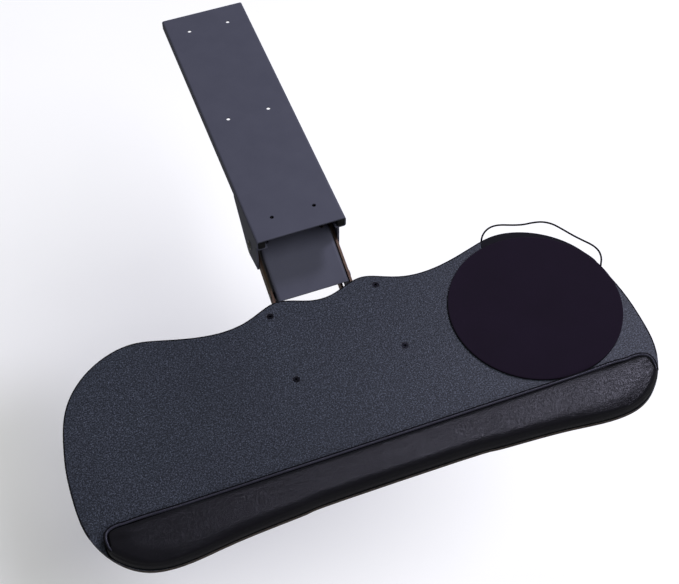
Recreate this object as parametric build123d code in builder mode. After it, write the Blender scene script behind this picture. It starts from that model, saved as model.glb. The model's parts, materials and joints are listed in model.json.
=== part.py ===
from build123d import *
from math import cos, pi, radians, sin, sqrt, tan
import os

os.makedirs("parts", exist_ok=True)

# Keyboard tray that hangs from its track, in millimetres. X runs across the track to the right, Y along it
# to the rear and Z is up. The origin is the centre of the screw pattern on the track's top face.
# The pose is the one of daily use: pulled out, a little lowered, board level.

# Track
track_length = 425
track_width = 118
track_height = 16
track_sheet = 1.8
track_lip = 14
track_bend = 3
desk_hole_radius = 2.6
desk_hole_spacing_x = 56
desk_hole_end_margin = 32.5

# Rail bumpers
bumper_length = 8
bumper_width = 9
rail_bevel = 1.3
rivet_radius = 1.6
rivet_head_radius = 3
rivet_head_height = 1
rivet_length = 8

# Carriage, shoes and swivel
carriage_length = 110
carriage_width = 104
carriage_sheet = 3
carriage_top_z = -7
carriage_gap = 1
carriage_corner = 8
carriage_slot_length = 56
carriage_slot_width = 18
carriage_slot_x = 33
shoe_length = 30
shoe_depth = 6
hub_radius = 32
hub_height = 7.5
swivel_washer_radius = 36
swivel_washer_thickness = 2
swivel_bolt_radius = 6
swivel_head_radius = 11
swivel_head_height = 2.8
swivel_nut_across = 19
swivel_nut_height = 8
swivel_bolt_end = 1.5

# Rear bracket
ear_sheet = 2.5
ear_outer_half_width = 56
ear_front_reach = 28
ear_front_depth = 55.9
ear_rear_reach = 64
ear_rear_depth = 13
ear_boss_radius = 10
ear_bend = 4
web_relief_reach = 8
web_relief_half_width = 46

# Arm: two side bars and the spring housing between them
arm_length = 124
arm_angle = 20
pivot_ahead = 20
rear_pivot_drop = 57.7
side_bar_thickness = 3
side_bar_height = 19
side_bar_gap = 0.5
housing_width = 95
housing_sheet = 2.5
housing_front_gap = 37
housing_rear_overlap = 12
housing_skirt = 9
housing_bend = 4
leg_slot_width = 9
leg_slot_reach = 9
tie_rod_radius = 3
tie_rod_offset = 3
tie_rod_share = 0.6
tie_head_radius = 4.5
tie_head_height = 1.2

# Pins of the arm
pin_radius = 4
pin_tail = 2.5
sleeve_radius = 6
ring_radius = 6.5
ring_thickness = 1.2

# Lift springs
spring_mean_radius = 10.5
spring_wire = 4
spring_turns = 7
spring_pitch = 4.6
spring_inner_x = 6
spring_rear_leg_angle = 40
spring_front_leg = 30
spring_gap = 0.3

# Level links
link_back = 9
link_down = 18
link_inner_x = 41
link_thickness = 3
link_height = 16
link_pin_radius = 3.5
link_pin_head = 5.5
link_pin_head_height = 0.4
link_collar_radius = 5
link_collar_length = 2

# Front bracket
front_web_reach = 24
front_ear_top = 13
front_ear_low = 22
front_ear_radius = 13
front_boss_radius = 10

# Head plate and clamp
head_drop = 51.7
head_sheet = 2.5
head_width = 170
head_front_reach = 114
head_rear_reach = 3.5
head_corner = 8
head_notch_width = 109
head_notch_reach = 8
head_ear_gap = 1
head_ear_radius = 14
head_ear_front = 44
head_ear_rear = 3
head_slot_length = 64
head_slot_width = 22
head_slot_x = 27
head_slot_y = -62
clamp_head_radius = 9
clamp_head_height = 4.5
clamp_washer_radius = 8.5
clamp_washer_thickness = 1.5

# Tilt knob
knob_radius = 22
knob_length = 24
knob_hub_radius = 12
knob_hub_length = 6
knob_lobes = 6
knob_groove_radius = 8
knob_groove_depth = 3.5
knob_edge_round = 2
knob_bore_length = 18
knob_dish_radius = 11
knob_dish_depth = 1.5

# Board
board_width = 712
board_depth = 297
board_thickness = 5
board_crest_y = 14.5
board_notch_y = -1.4
notch_rise_x = 29
notch_rise_y = 5.5
lobe_crest_x = 57
lobe_crest_y = 12.5
lobe_fall_x = 84
lobe_fall_y = 3.5
lobe_foot_x = 107
lobe_foot_y = -4.6
rear_shares = [(0.449, 0.0630), (0.576, 0.0236), (0.6685, 0.0), (0.781, 0.027), (0.876, 0.101)]
side_shares = [(0.944, 0.2104), (0.9846, 0.382), (1.0, 0.5875)]
front_shares = [(1.0, 0.5875), (0.987, 0.7626), (0.935, 0.8906), (0.843, 0.9798), (0.736, 1.0)]
lobe_shares = [(0.576, 0.9815), (0.337, 0.963), (0.0, 0.954)]
board_screw_x = 69.5
board_screw_rear_y = -5.2
board_screw_front_y = -102.5
board_screw_radius = 2.5
board_screw_head_radius = 4.2
board_screw_angle = 90
board_screw_tail = 1.5
board_socket_across = 3
board_nut_across = 8
board_nut_height = 4

# Palm rest
rest_depth = 64.5
rest_end_margin = 22
rest_inset = 1
rest_height = 18
rest_crown = 1.6
rest_corner = 13
rest_top_round = 7
rest_foot_round = 2.5
rest_base_thickness = 3
rest_base_inset = 1.5
rest_screw_end_margin = 44
rest_screw_inner_share = 0.38
rest_screw_depth = 37.5
rest_screw_radius = 1.8
rest_screw_head_radius = 4
rest_screw_head_height = 2
rest_screw_bite = 2.5

# Mouse pad
pad_radius = 108
pad_thickness = 3
pad_side_margin = 6.5
pad_rest_gap = 5
pad_round = 1.2

# Elastic cord and its clips: hand-chosen points of the route, as shares of the board's half width and of its
# depth below the rear crests, and how far each lies under the board's top
cord_diameter = 2.4
cord_arc_share = 0.45
clip_length = 14
clip_width = 11
clip_height = 6
clip_round = 2
clip_screw_radius = 1.5
clip_screw_head_radius = 2.8
clip_screw_head_height = 1.4
clip_screw_bite = 3.5
cord_shares = [
    (0.6152, 0.0303),
    (0.6278, -0.0051),
    (0.6489, -0.0438),
    (0.6826, -0.0707),
    (0.7219, -0.0744),
    (0.7711, -0.0552),
    (0.8104, -0.0421),
    (0.8525, -0.0397),
    (0.8890, -0.0293),
    (0.9171, -0.0034),
    (0.9368, 0.0360),
    (0.9607, 0.0892),
    (0.9846, 0.1347),
    (1.0042, 0.1700),
    (1.0135, 0.2104),
    (1.0056, 0.2525),
    (0.9854, 0.2896),
    (0.9677, 0.3209),
]
cord_drops = [
    8, 8, 8.3, 9.2, 10.2, 12, 12.8, 13.5, 14,
    14, 13.5, 12.6, 11.6, 10.6, 9.6, 8.7, 8.1, 8,
]

# Clearances shared by all fits
running = 0.05
open_running = 0.3
seat = 0.3
slack = 0.2
overrun = 2

# Places that follow from the sizes above
theta = radians(arm_angle)
carriage_y = -track_length / 2 + bumper_length + carriage_gap + carriage_length / 2
hub_bottom_z = carriage_top_z - carriage_sheet - hub_height
bracket_top_z = hub_bottom_z - swivel_washer_thickness - slack
bracket_under_z = bracket_top_z - ear_sheet
pivot_y = carriage_y - pivot_ahead
pivot_z = -rear_pivot_drop
head_y = pivot_y - arm_length * cos(theta)
head_z = pivot_z - arm_length * sin(theta)
board_top_z = head_z + head_drop
board_under_z = board_top_z - board_thickness
ear_inner = ear_outer_half_width - ear_sheet
side_bar_outer = ear_inner - side_bar_gap
side_bar_inner = side_bar_outer - side_bar_thickness
housing_half = housing_width / 2
housing_inner = housing_half - housing_sheet
spring_outer = spring_mean_radius + spring_wire / 2
housing_top = spring_outer + spring_gap + housing_sheet
head_ear_inner = ear_outer_half_width + head_ear_gap
head_ear_outer = head_ear_inner + head_sheet
link_outer_x = link_inner_x + link_thickness
board_plane = Plane(origin=(0, head_y, board_top_z))
board_under = board_plane.offset(-board_thickness)


def save(part, name):
    part.label = name
    export_step(part, f"parts/{name}.step")


def rod(x_from, x_to, y, z, radius, bore=0):
    """Round rod or sleeve along X between two stations."""
    with BuildPart() as piece:
        with BuildSketch(Plane.YZ.offset(x_from)):
            with Locations((y, z)):
                Circle(radius)
                if bore:
                    Circle(bore, mode=Mode.SUBTRACT)
        extrude(amount=x_to - x_from)
    return piece.part


def arm_plane(x, y, z):
    """Plane across X: local x runs down the arm to the front, local y stands up from the arm."""
    return Plane(origin=(x, y, z), x_dir=(0, -cos(theta), -sin(theta)), z_dir=(-1, 0, 0))


def along_arm(distance, height=0):
    """Y and Z of a point at a distance down the arm from its rear pivot and a height above its line."""
    y = pivot_y - distance * cos(theta) - height * sin(theta)
    z = pivot_z - distance * sin(theta) + height * cos(theta)
    return y, z


# Track: rolled steel rail, open below, its lips turned in under the shoes
half_track = track_width / 2
rail_inner = half_track - track_sheet
with BuildPart() as track:
    with BuildSketch(Plane.XZ):
        with BuildLine():
            FilletPolyline(
                (-half_track + track_lip, -track_height),
                (-half_track, -track_height),
                (-half_track, 0),
                (half_track, 0),
                (half_track, -track_height),
                (half_track - track_lip, -track_height),
                radius=track_bend,
            )
            offset(amount=track_sheet, side=Side.RIGHT)
        make_face()
    extrude(amount=track_length / 2, both=True)
    with GridLocations(desk_hole_spacing_x, track_length / 2 - desk_hole_end_margin, 2, 3):
        Hole(desk_hole_radius)
    bumper_x = rail_inner - seat - bumper_width / 2
    bumper_y = (track_length - bumper_length) / 2
    with Locations(Plane.XY.offset(-track_height)):
        with GridLocations(2 * bumper_x, 2 * bumper_y, 2, 2):
            Hole(rivet_radius + running, depth=track_sheet + overrun)
save(track.part, "track")

# Rail bumpers close both ends of the two side rails, each on a rivet through the lip
rail_height = track_height - 2 * track_sheet - 2 * seat
rail_middle_z = -track_height / 2
for end_name, end in (("front", -1), ("rear", 1)):
    bumper_places = [(side * bumper_x, end * bumper_y, rail_middle_z) for side in (-1, 1)]
    with BuildPart() as bumpers:
        with Locations(*bumper_places):
            Box(bumper_width, bumper_length, rail_height)
        chamfer(bumpers.edges().filter_by(Axis.Y), rail_bevel)
        with Locations(*bumper_places):
            Hole(rivet_radius + running)
    save(bumpers.part, f"{end_name}_bumpers")

with BuildPart() as bumper_rivets:
    with BuildSketch(Plane.XY.offset(-track_height)):
        with GridLocations(2 * bumper_x, 2 * bumper_y, 2, 2):
            Circle(rivet_head_radius)
    extrude(amount=-rivet_head_height)
    with BuildSketch(Plane.XY.offset(-track_height)):
        with GridLocations(2 * bumper_x, 2 * bumper_y, 2, 2):
            Circle(rivet_radius)
    extrude(amount=rivet_length)
    fillet(bumper_rivets.faces().sort_by(Axis.Z)[:4].edges(), rivet_head_height / 2)
save(bumper_rivets.part, "bumper_rivets")

# Carriage plate with two lightening slots, its four shoes in the rails and the hub below it
carriage_under_z = carriage_top_z - carriage_sheet
with BuildPart() as carriage_plate:
    with BuildSketch(Plane.XY.offset(carriage_under_z)):
        with Locations((0, carriage_y)):
            RectangleRounded(carriage_width, carriage_length, carriage_corner)
            Circle(swivel_bolt_radius + slack, mode=Mode.SUBTRACT)
            with Locations((-carriage_slot_x, 0), (carriage_slot_x, 0)):
                SlotOverall(carriage_slot_length, carriage_slot_width, rotation=90, mode=Mode.SUBTRACT)
    extrude(amount=carriage_sheet)
save(carriage_plate.part, "carriage_plate")

shoe_outer_x = rail_inner - seat
shoe_inner_x = carriage_width / 2 - shoe_depth
shoe_x = (shoe_outer_x + shoe_inner_x) / 2
shoe_y = (carriage_length - shoe_length) / 2
for side_name, side in (("left", -1), ("right", 1)):
    for end_name, end in (("front", -1), ("rear", 1)):
        with BuildPart() as shoe:
            with Locations((side * shoe_x, carriage_y + end * shoe_y, rail_middle_z)):
                Box(shoe_outer_x - shoe_inner_x, shoe_length, rail_height)
            chamfer(shoe.edges().filter_by(Axis.Y) + shoe.edges().filter_by(Axis.Z), rail_bevel)
            with BuildSketch(Plane.XY.offset(carriage_under_z)):
                with Locations((0, carriage_y)):
                    RectangleRounded(carriage_width, carriage_length, carriage_corner)
            extrude(amount=carriage_sheet, mode=Mode.SUBTRACT)
        save(shoe.part, f"glide_shoe_{end_name}_{side_name}")

with BuildPart() as swivel_hub:
    with BuildSketch(Plane.XY.offset(hub_bottom_z)):
        with Locations((0, carriage_y)):
            Circle(hub_radius)
            Circle(swivel_bolt_radius + slack, mode=Mode.SUBTRACT)
    extrude(amount=hub_height)
    chamfer(swivel_hub.faces().sort_by(Axis.Z)[0].edges().sort_by(SortBy.RADIUS)[-1], seat)
save(swivel_hub.part, "swivel_hub")

with BuildPart() as swivel_washer:
    with BuildSketch(Plane.XY.offset(hub_bottom_z - swivel_washer_thickness)):
        with Locations((0, carriage_y)):
            Circle(swivel_washer_radius)
            Circle(swivel_bolt_radius + slack, mode=Mode.SUBTRACT)
    extrude(amount=swivel_washer_thickness)
save(swivel_washer.part, "swivel_washer")

swivel_nut_z = bracket_under_z - slack - swivel_nut_height
with BuildPart() as swivel_bolt:
    with BuildSketch(Plane.XY.offset(carriage_top_z)):
        with Locations((0, carriage_y)):
            Circle(swivel_head_radius)
    extrude(amount=swivel_head_height)
    fillet(swivel_bolt.faces().sort_by(Axis.Z)[-1].edges(), swivel_head_height / 2)
    with BuildSketch(Plane.XY.offset(swivel_nut_z - swivel_bolt_end)):
        with Locations((0, carriage_y)):
            Circle(swivel_bolt_radius)
    extrude(amount=carriage_top_z - swivel_nut_z + swivel_bolt_end)
    chamfer(swivel_bolt.faces().sort_by(Axis.Z)[0].edges(), swivel_bolt_end / 2)
save(swivel_bolt.part, "swivel_bolt")

with BuildPart() as swivel_nut:
    with BuildSketch(Plane.XY.offset(swivel_nut_z)):
        with Locations((0, carriage_y)):
            RegularPolygon(swivel_nut_across / 2, 6, major_radius=False)
            Circle(swivel_bolt_radius + running, mode=Mode.SUBTRACT)
    extrude(amount=swivel_nut_height)
save(swivel_nut.part, "swivel_nut")

# Rear bracket: a plate bent down both sides of the arm, its ears drawn tight round the link boss
link_rear_y = pivot_y + link_back
link_rear_z = pivot_z - link_down
bracket_front_y = pivot_y - ear_front_reach
bracket_rear_y = pivot_y + ear_rear_reach
with BuildPart() as rear_bracket:
    with BuildSketch(Plane.XZ.offset(-bracket_rear_y)):
        with BuildLine():
            FilletPolyline(
                (-ear_outer_half_width, link_rear_z - ear_boss_radius),
                (-ear_outer_half_width, bracket_top_z),
                (ear_outer_half_width, bracket_top_z),
                (ear_outer_half_width, link_rear_z - ear_boss_radius),
                radius=ear_bend,
            )
            offset(amount=ear_sheet, side=Side.RIGHT)
        make_face()
    extrude(amount=bracket_rear_y - bracket_front_y)
    with BuildSketch(Plane.YZ):
        with BuildLine():
            Polyline(
                (bracket_front_y, bracket_top_z - ear_front_depth),
                (bracket_front_y, bracket_top_z),
                (bracket_rear_y, bracket_top_z),
                (bracket_rear_y, bracket_top_z - ear_rear_depth),
            )
        with Locations((link_rear_y, link_rear_z)):
            Circle(ear_boss_radius)
        make_hull()
    extrude(amount=ear_outer_half_width, both=True, mode=Mode.INTERSECT)
    with BuildSketch(Plane.XY.offset(bracket_under_z)):
        with Locations((0, bracket_front_y)):
            RectangleRounded(2 * web_relief_half_width, 2 * web_relief_reach, web_relief_reach / 2)
    extrude(amount=ear_sheet, mode=Mode.SUBTRACT)
    with Locations((0, carriage_y, bracket_under_z)):
        Hole(swivel_bolt_radius + running)
    with Locations(Plane.YZ):
        with Locations((pivot_y, pivot_z)):
            Hole(pin_radius + running)
        with Locations((link_rear_y, link_rear_z)):
            Hole(link_pin_radius + running)
save(rear_bracket.part, "rear_bracket")

# Rear pivot pin in the ears, held by a retaining ring at each end
pin_end = ear_outer_half_width + ring_thickness + pin_tail
with BuildPart() as rear_pivot_pin:
    with BuildSketch(Plane.YZ.offset(-pin_end)):
        with Locations((pivot_y, pivot_z)):
            Circle(pin_radius)
    extrude(amount=2 * pin_end)
    chamfer(rear_pivot_pin.faces().filter_by(Plane.YZ).edges(), ring_thickness / 2)
save(rear_pivot_pin.part, "rear_pivot_pin")

with BuildPart() as pivot_rings:
    ring_stations = (-ear_outer_half_width - ring_thickness, ear_outer_half_width)
    for station in ring_stations:
        with BuildSketch(Plane.YZ.offset(station)):
            with Locations((pivot_y, pivot_z)):
                Circle(ring_radius)
                Circle(pin_radius, mode=Mode.SUBTRACT)
        extrude(amount=ring_thickness)
save(pivot_rings.part, "pivot_rings")

# Side bars of the arm
tie_distance = tie_rod_share * arm_length
for side_name, station in (("left", -side_bar_inner), ("right", side_bar_outer)):
    with BuildPart() as side_bar:
        with BuildSketch(arm_plane(station, pivot_y, pivot_z)):
            with Locations((arm_length / 2, 0)):
                SlotCenterToCenter(arm_length, side_bar_height)
            with Locations((0, 0), (arm_length, 0)):
                Circle(pin_radius + running, mode=Mode.SUBTRACT)
            with Locations((tie_distance, tie_rod_offset)):
                Circle(tie_rod_radius + running, mode=Mode.SUBTRACT)
        extrude(amount=side_bar_thickness)
    save(side_bar.part, f"side_bar_{side_name}")

# Spring housing: a bent cover over the springs, slotted at the rear for their outer legs
spring_outer_x = spring_inner_x + spring_turns * spring_pitch
housing_rear_y, housing_rear_z = along_arm(-housing_rear_overlap)
housing_plane = Plane(
    origin=(0, housing_rear_y, housing_rear_z), x_dir=(1, 0, 0), z_dir=(0, -cos(theta), -sin(theta))
)
with BuildPart() as arm_housing:
    with BuildSketch(housing_plane):
        with BuildLine():
            FilletPolyline(
                (-housing_half, -housing_skirt),
                (-housing_half, housing_top),
                (housing_half, housing_top),
                (housing_half, -housing_skirt),
                radius=housing_bend,
            )
            offset(amount=housing_sheet, side=Side.RIGHT)
        make_face()
    extrude(amount=arm_length + housing_rear_overlap - housing_front_gap)
    with BuildSketch(Plane(origin=housing_plane.origin, x_dir=(1, 0, 0), z_dir=(0, -sin(theta), cos(theta)))):
        with Locations((-spring_outer_x, 0), (spring_outer_x, 0)):
            SlotOverall(2 * (housing_rear_overlap + leg_slot_reach), leg_slot_width, rotation=90)
    extrude(amount=housing_top + overrun, mode=Mode.SUBTRACT)
    with Locations(Plane.YZ):
        with Locations((pivot_y, pivot_z)):
            Hole(pin_radius + running)
        with Locations(along_arm(tie_distance, tie_rod_offset)):
            Hole(tie_rod_radius + running)
save(arm_housing.part, "arm_housing")

# Sleeve round the pin inside the housing, spacers between housing and bars, and the tie rod
rear_sleeve_end = housing_inner - slack
rear_sleeve = rod(-rear_sleeve_end, rear_sleeve_end, pivot_y, pivot_z, sleeve_radius, pin_radius + slack)
save(rear_sleeve, "rear_sleeve")

tie_y, tie_z = along_arm(tie_distance, tie_rod_offset)
with BuildPart() as arm_spacers:
    for station in (-side_bar_inner, housing_half):
        with BuildSketch(Plane.YZ.offset(station)):
            with Locations((pivot_y, pivot_z)):
                Circle(sleeve_radius)
                Circle(pin_radius + slack, mode=Mode.SUBTRACT)
            with Locations((tie_y, tie_z)):
                Circle(tie_head_radius)
                Circle(tie_rod_radius + running, mode=Mode.SUBTRACT)
        extrude(amount=side_bar_inner - housing_half)
save(arm_spacers.part, "arm_spacers")

with BuildPart() as tie_rod:
    with BuildSketch(Plane.YZ.offset(-side_bar_outer)):
        with Locations((tie_y, tie_z)):
            Circle(tie_rod_radius)
    extrude(amount=2 * side_bar_outer)
    with BuildSketch(Plane.YZ.offset(-side_bar_outer), Plane.YZ.offset(side_bar_outer + tie_head_height)):
        with Locations((tie_y, tie_z)):
            Circle(tie_head_radius)
    extrude(amount=-tie_head_height)
save(tie_rod.part, "tie_rod")


# Lift springs: each wound round the rear sleeve, its outer leg up to the rear bracket and its inner leg
# forward under the housing's web
first_turn = radians(90 + spring_rear_leg_angle)
last_turn = radians(90 + arm_angle + 360 * spring_turns)
quarter_turns = round((last_turn - first_turn) / (pi / 2))
rear_leg_rise = bracket_under_z - spring_gap - spring_wire / 2 - pivot_z
rear_leg = (rear_leg_rise - spring_mean_radius * sin(first_turn)) / sin(radians(spring_rear_leg_angle))


def coil_point(turn):
    """Point of the right spring's coil at an angle round the pin, which winds in toward the middle."""
    x = spring_outer_x - spring_pitch * (turn - first_turn) / (2 * pi)
    return Vector(x, pivot_y + spring_mean_radius * cos(turn), pivot_z + spring_mean_radius * sin(turn))


def coil_way(turn):
    """Direction of the coil at the same angle."""
    lead = -spring_pitch / (2 * pi)
    return Vector(lead, -spring_mean_radius * sin(turn), spring_mean_radius * cos(turn)).normalized()


def biarc(start, start_way, end, end_way):
    """Two arcs that leave the start along its way and reach the end along its way."""
    gap = end - start
    both = start_way + end_way
    spread = 2 * (1 - start_way.dot(end_way))
    reach = (sqrt(gap.dot(both) ** 2 + spread * gap.dot(gap)) - gap.dot(both)) / spread
    joint = (start + start_way * reach + end - end_way * reach) * 0.5
    first = TangentArc(start, joint, tangent=start_way)
    TangentArc(joint, end, tangent=first % 1)


with BuildPart() as lift_spring:
    with BuildLine() as wire:
        Line(coil_point(first_turn) - coil_way(first_turn) * rear_leg, coil_point(first_turn))
        for quarter in range(quarter_turns):
            turn = first_turn + (last_turn - first_turn) * quarter / quarter_turns
            next_turn = first_turn + (last_turn - first_turn) * (quarter + 1) / quarter_turns
            biarc(coil_point(turn), coil_way(turn), coil_point(next_turn), coil_way(next_turn))
        Line(coil_point(last_turn), coil_point(last_turn) + coil_way(last_turn) * spring_front_leg)
    with BuildSketch(Plane(origin=wire.wire() @ 0, z_dir=wire.wire() % 0)):
        Circle(spring_wire / 2)
    sweep(path=wire.wire())
save(lift_spring.part, "lift_spring_right")
with BuildPart() as lift_spring_left:
    mirror(lift_spring.part, about=Plane.YZ)
save(lift_spring_left.part, "lift_spring_left")

# Least gap of the wire to itself, measured on points of the coil and its two legs
samples_per_turn = 36
coil_samples = round((last_turn - first_turn) / (2 * pi) * samples_per_turn)
spring_points = [
    coil_point(first_turn + (last_turn - first_turn) * i / coil_samples) for i in range(coil_samples + 1)
]
half_turn = samples_per_turn // 2
rear_leg_points = [
    spring_points[0] - coil_way(first_turn) * rear_leg * i / samples_per_turn
    for i in range(samples_per_turn, 0, -1)
]
front_leg_points = [
    spring_points[-1] + coil_way(last_turn) * spring_front_leg * i / samples_per_turn
    for i in range(1, samples_per_turn + 1)
]
spring_points = rear_leg_points + spring_points + front_leg_points
spring_self_gap = min(
    (a - b).length - spring_wire
    for i, a in enumerate(spring_points)
    for b in spring_points[i + half_turn :]
)
print("least gap of the spring wire to itself", round(spring_self_gap, 2))
spring_section = pi * (spring_wire / 2) ** 2
print("spring volume", round(lift_spring.part.volume))
print("spring section times length", round(wire.wire().length * spring_section))

# Level links: running fit at the rear pin, open fit at the front pin
for side_name, station in (("left", -link_inner_x), ("right", link_outer_x)):
    with BuildPart() as level_link:
        with BuildSketch(arm_plane(station, link_rear_y, link_rear_z)):
            with Locations((arm_length / 2, 0)):
                SlotCenterToCenter(arm_length, link_height)
            Circle(link_pin_radius + running, mode=Mode.SUBTRACT)
            with Locations((arm_length, 0)):
                Circle(link_pin_radius + open_running, mode=Mode.SUBTRACT)
        extrude(amount=link_thickness)
    save(level_link.part, f"level_link_{side_name}")

# Link pins, riveted over in the ears, with two collars beside each link
link_front_y = head_y + link_back
link_front_z = head_z - link_down
link_pin_tip = ear_outer_half_width + link_pin_head_height
for end_name, pin_y, pin_z in (("rear", link_rear_y, link_rear_z), ("front", link_front_y, link_front_z)):
    with BuildPart() as link_pin:
        with BuildSketch(Plane.YZ.offset(-ear_outer_half_width)):
            with Locations((pin_y, pin_z)):
                Circle(link_pin_radius)
        extrude(amount=2 * ear_outer_half_width)
        with BuildSketch(Plane.YZ.offset(-ear_outer_half_width), Plane.YZ.offset(link_pin_tip)):
            with Locations((pin_y, pin_z)):
                Circle(link_pin_head)
        extrude(amount=-link_pin_head_height)
    save(link_pin.part, f"{end_name}_link_pin")
    with BuildPart() as link_collars:
        collar_stations = (
            -link_outer_x - slack - link_collar_length,
            slack - link_inner_x,
            link_inner_x - slack - link_collar_length,
            link_outer_x + slack,
        )
        for station in collar_stations:
            with BuildSketch(Plane.YZ.offset(station)):
                with Locations((pin_y, pin_z)):
                    Circle(link_collar_radius)
                    Circle(link_pin_radius, mode=Mode.SUBTRACT)
            extrude(amount=link_collar_length)
    save(link_collars.part, f"{end_name}_link_collars")

# Front bracket: a plate bent back along both sides of the arm, open to the rear
front_web_y = head_y - front_web_reach
front_ear_back_y = link_front_y + front_boss_radius
front_bottom_z = link_front_z - front_boss_radius
with BuildPart() as front_bracket:
    with BuildSketch(Plane.XY.offset(front_bottom_z)):
        with BuildLine():
            FilletPolyline(
                (-ear_outer_half_width, front_ear_back_y),
                (-ear_outer_half_width, front_web_y),
                (ear_outer_half_width, front_web_y),
                (ear_outer_half_width, front_ear_back_y),
                radius=ear_bend,
            )
            offset(amount=ear_sheet, side=Side.LEFT)
        make_face()
    extrude(amount=head_z + front_ear_top - front_bottom_z)
    with BuildSketch(Plane.YZ):
        with BuildLine():
            Line((front_web_y, head_z + front_ear_top), (front_web_y, head_z - front_ear_low))
        with Locations((head_y, head_z)):
            Circle(front_ear_radius)
        with Locations((link_front_y, link_front_z)):
            Circle(front_boss_radius)
        make_hull()
    extrude(amount=ear_outer_half_width, both=True, mode=Mode.INTERSECT)
    with Locations(Plane.YZ):
        with Locations((head_y, head_z)):
            Hole(pin_radius + running)
        with Locations((link_front_y, link_front_z)):
            Hole(link_pin_radius + running)
save(front_bracket.part, "front_bracket")

clamp_sleeve_end = side_bar_inner - slack
clamp_sleeve = rod(-clamp_sleeve_end, clamp_sleeve_end, head_y, head_z, sleeve_radius, pin_radius + slack)
save(clamp_sleeve, "clamp_sleeve")

with BuildPart() as friction_washers:
    for station in (-head_ear_inner, ear_outer_half_width):
        with BuildSketch(Plane.YZ.offset(station)):
            with Locations((head_y, head_z)):
                Circle(front_ear_radius - seat)
                Circle(pin_radius + slack, mode=Mode.SUBTRACT)
        extrude(amount=head_ear_gap)
save(friction_washers.part, "friction_washers")

# Head plate: the plate that carries the board, cut back round the arm, with a welded ear each side
head_length = head_front_reach + head_rear_reach
with BuildPart() as head_plate:
    with BuildSketch(board_under.offset(-head_sheet)) as plate:
        with Locations((0, (head_rear_reach - head_front_reach) / 2)):
            Rectangle(head_width, head_length)
        with Locations((0, head_rear_reach)):
            Rectangle(head_notch_width, 2 * (head_notch_reach + head_rear_reach), mode=Mode.SUBTRACT)
        fillet(plate.vertices(), head_corner / 2)
        with Locations((-head_slot_x, head_slot_y), (head_slot_x, head_slot_y)):
            SlotOverall(head_slot_length, head_slot_width, rotation=90, mode=Mode.SUBTRACT)
        with Locations((-board_screw_x, board_screw_rear_y), (board_screw_x, board_screw_rear_y)):
            Circle(board_screw_radius + slack, mode=Mode.SUBTRACT)
        with Locations((-board_screw_x, board_screw_front_y), (board_screw_x, board_screw_front_y)):
            Circle(board_screw_radius + slack, mode=Mode.SUBTRACT)
    extrude(amount=head_sheet)
    with BuildSketch(Plane.YZ.offset(-head_ear_outer), Plane.YZ.offset(head_ear_inner)):
        with BuildLine():
            Line(
                (head_y - head_ear_front, board_under_z - head_sheet),
                (head_y + head_ear_rear, board_under_z - head_sheet),
            )
        with Locations((head_y, head_z)):
            Circle(head_ear_radius)
        make_hull()
        with Locations((head_y, head_z)):
            Circle(pin_radius + running, mode=Mode.SUBTRACT)
    extrude(amount=head_sheet)
save(head_plate.part, "head_plate")

# Clamp bolt through the whole head joint, its washer and the lobed knob on its thread
clamp_washer_x = head_ear_outer
knob_x = clamp_washer_x + clamp_washer_thickness + slack
bolt_tip_x = knob_x + knob_bore_length - seat
with BuildPart() as clamp_bolt:
    with BuildSketch(Plane.YZ.offset(-head_ear_outer)):
        with Locations((head_y, head_z)):
            Circle(clamp_head_radius)
    extrude(amount=-clamp_head_height)
    fillet(clamp_bolt.faces().sort_by(Axis.X)[0].edges(), clamp_head_height / 2)
    with BuildSketch(Plane.YZ.offset(-head_ear_outer)):
        with Locations((head_y, head_z)):
            Circle(pin_radius)
    extrude(amount=head_ear_outer + bolt_tip_x)
save(clamp_bolt.part, "clamp_bolt")
knob_washer = rod(
    clamp_washer_x,
    clamp_washer_x + clamp_washer_thickness,
    head_y,
    head_z,
    clamp_washer_radius,
    pin_radius + slack,
)
save(knob_washer, "knob_washer")

with BuildPart() as tilt_knob:
    with BuildSketch(Plane.YZ.offset(knob_x)):
        with Locations((head_y, head_z)):
            Circle(knob_hub_radius)
    extrude(amount=knob_hub_length)
    with BuildSketch(Plane.YZ.offset(knob_x + knob_hub_length)) as lobes:
        with Locations((head_y, head_z)):
            Circle(knob_radius)
            with PolarLocations(knob_radius + knob_groove_radius - knob_groove_depth, knob_lobes):
                Circle(knob_groove_radius, mode=Mode.SUBTRACT)
        fillet(lobes.vertices(), knob_edge_round)
    extrude(amount=knob_length - knob_hub_length)
    rim = tilt_knob.faces().sort_by(Axis.X)[-1].edges()
    fillet(rim, knob_edge_round)
    with BuildSketch(Plane.YZ.offset(knob_x + knob_length)):
        with Locations((head_y, head_z)):
            Circle(knob_dish_radius)
    extrude(amount=-knob_dish_depth, mode=Mode.SUBTRACT)
    with BuildSketch(Plane.YZ.offset(knob_x)):
        with Locations((head_y, head_z)):
            Circle(pin_radius + running)
    extrude(amount=knob_bore_length, mode=Mode.SUBTRACT)
save(tilt_knob.part, "tilt_knob")

# Board: thin slab with a lobed outline, the same on both sides of its middle
half_board = board_width / 2
rest_front_y = board_crest_y - board_depth
rest_back_y = rest_front_y + rest_depth
rest_half_length = half_board - rest_end_margin
rest_screw_y = rest_front_y + rest_screw_depth
rest_screw_outer_x = rest_half_length - rest_screw_end_margin
rest_screw_inner_x = rest_screw_outer_x * rest_screw_inner_share
pad_x = half_board - pad_side_margin - pad_radius
pad_y = rest_back_y + pad_rest_gap + pad_radius


def outline_points(shares, inset=0):
    """Outline points from shares of the half width and of the depth below the rear crests."""
    return [(x * (half_board - inset), board_crest_y - y * board_depth + inset) for x, y in shares]


def front_edge(inset=0):
    """Draws the outline's front, from its widest point to the middle, drawn in by an inset."""
    Spline(*outline_points(front_shares + lobe_shares, inset), tangents=[(0, -1), (-1, 0)])


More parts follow.
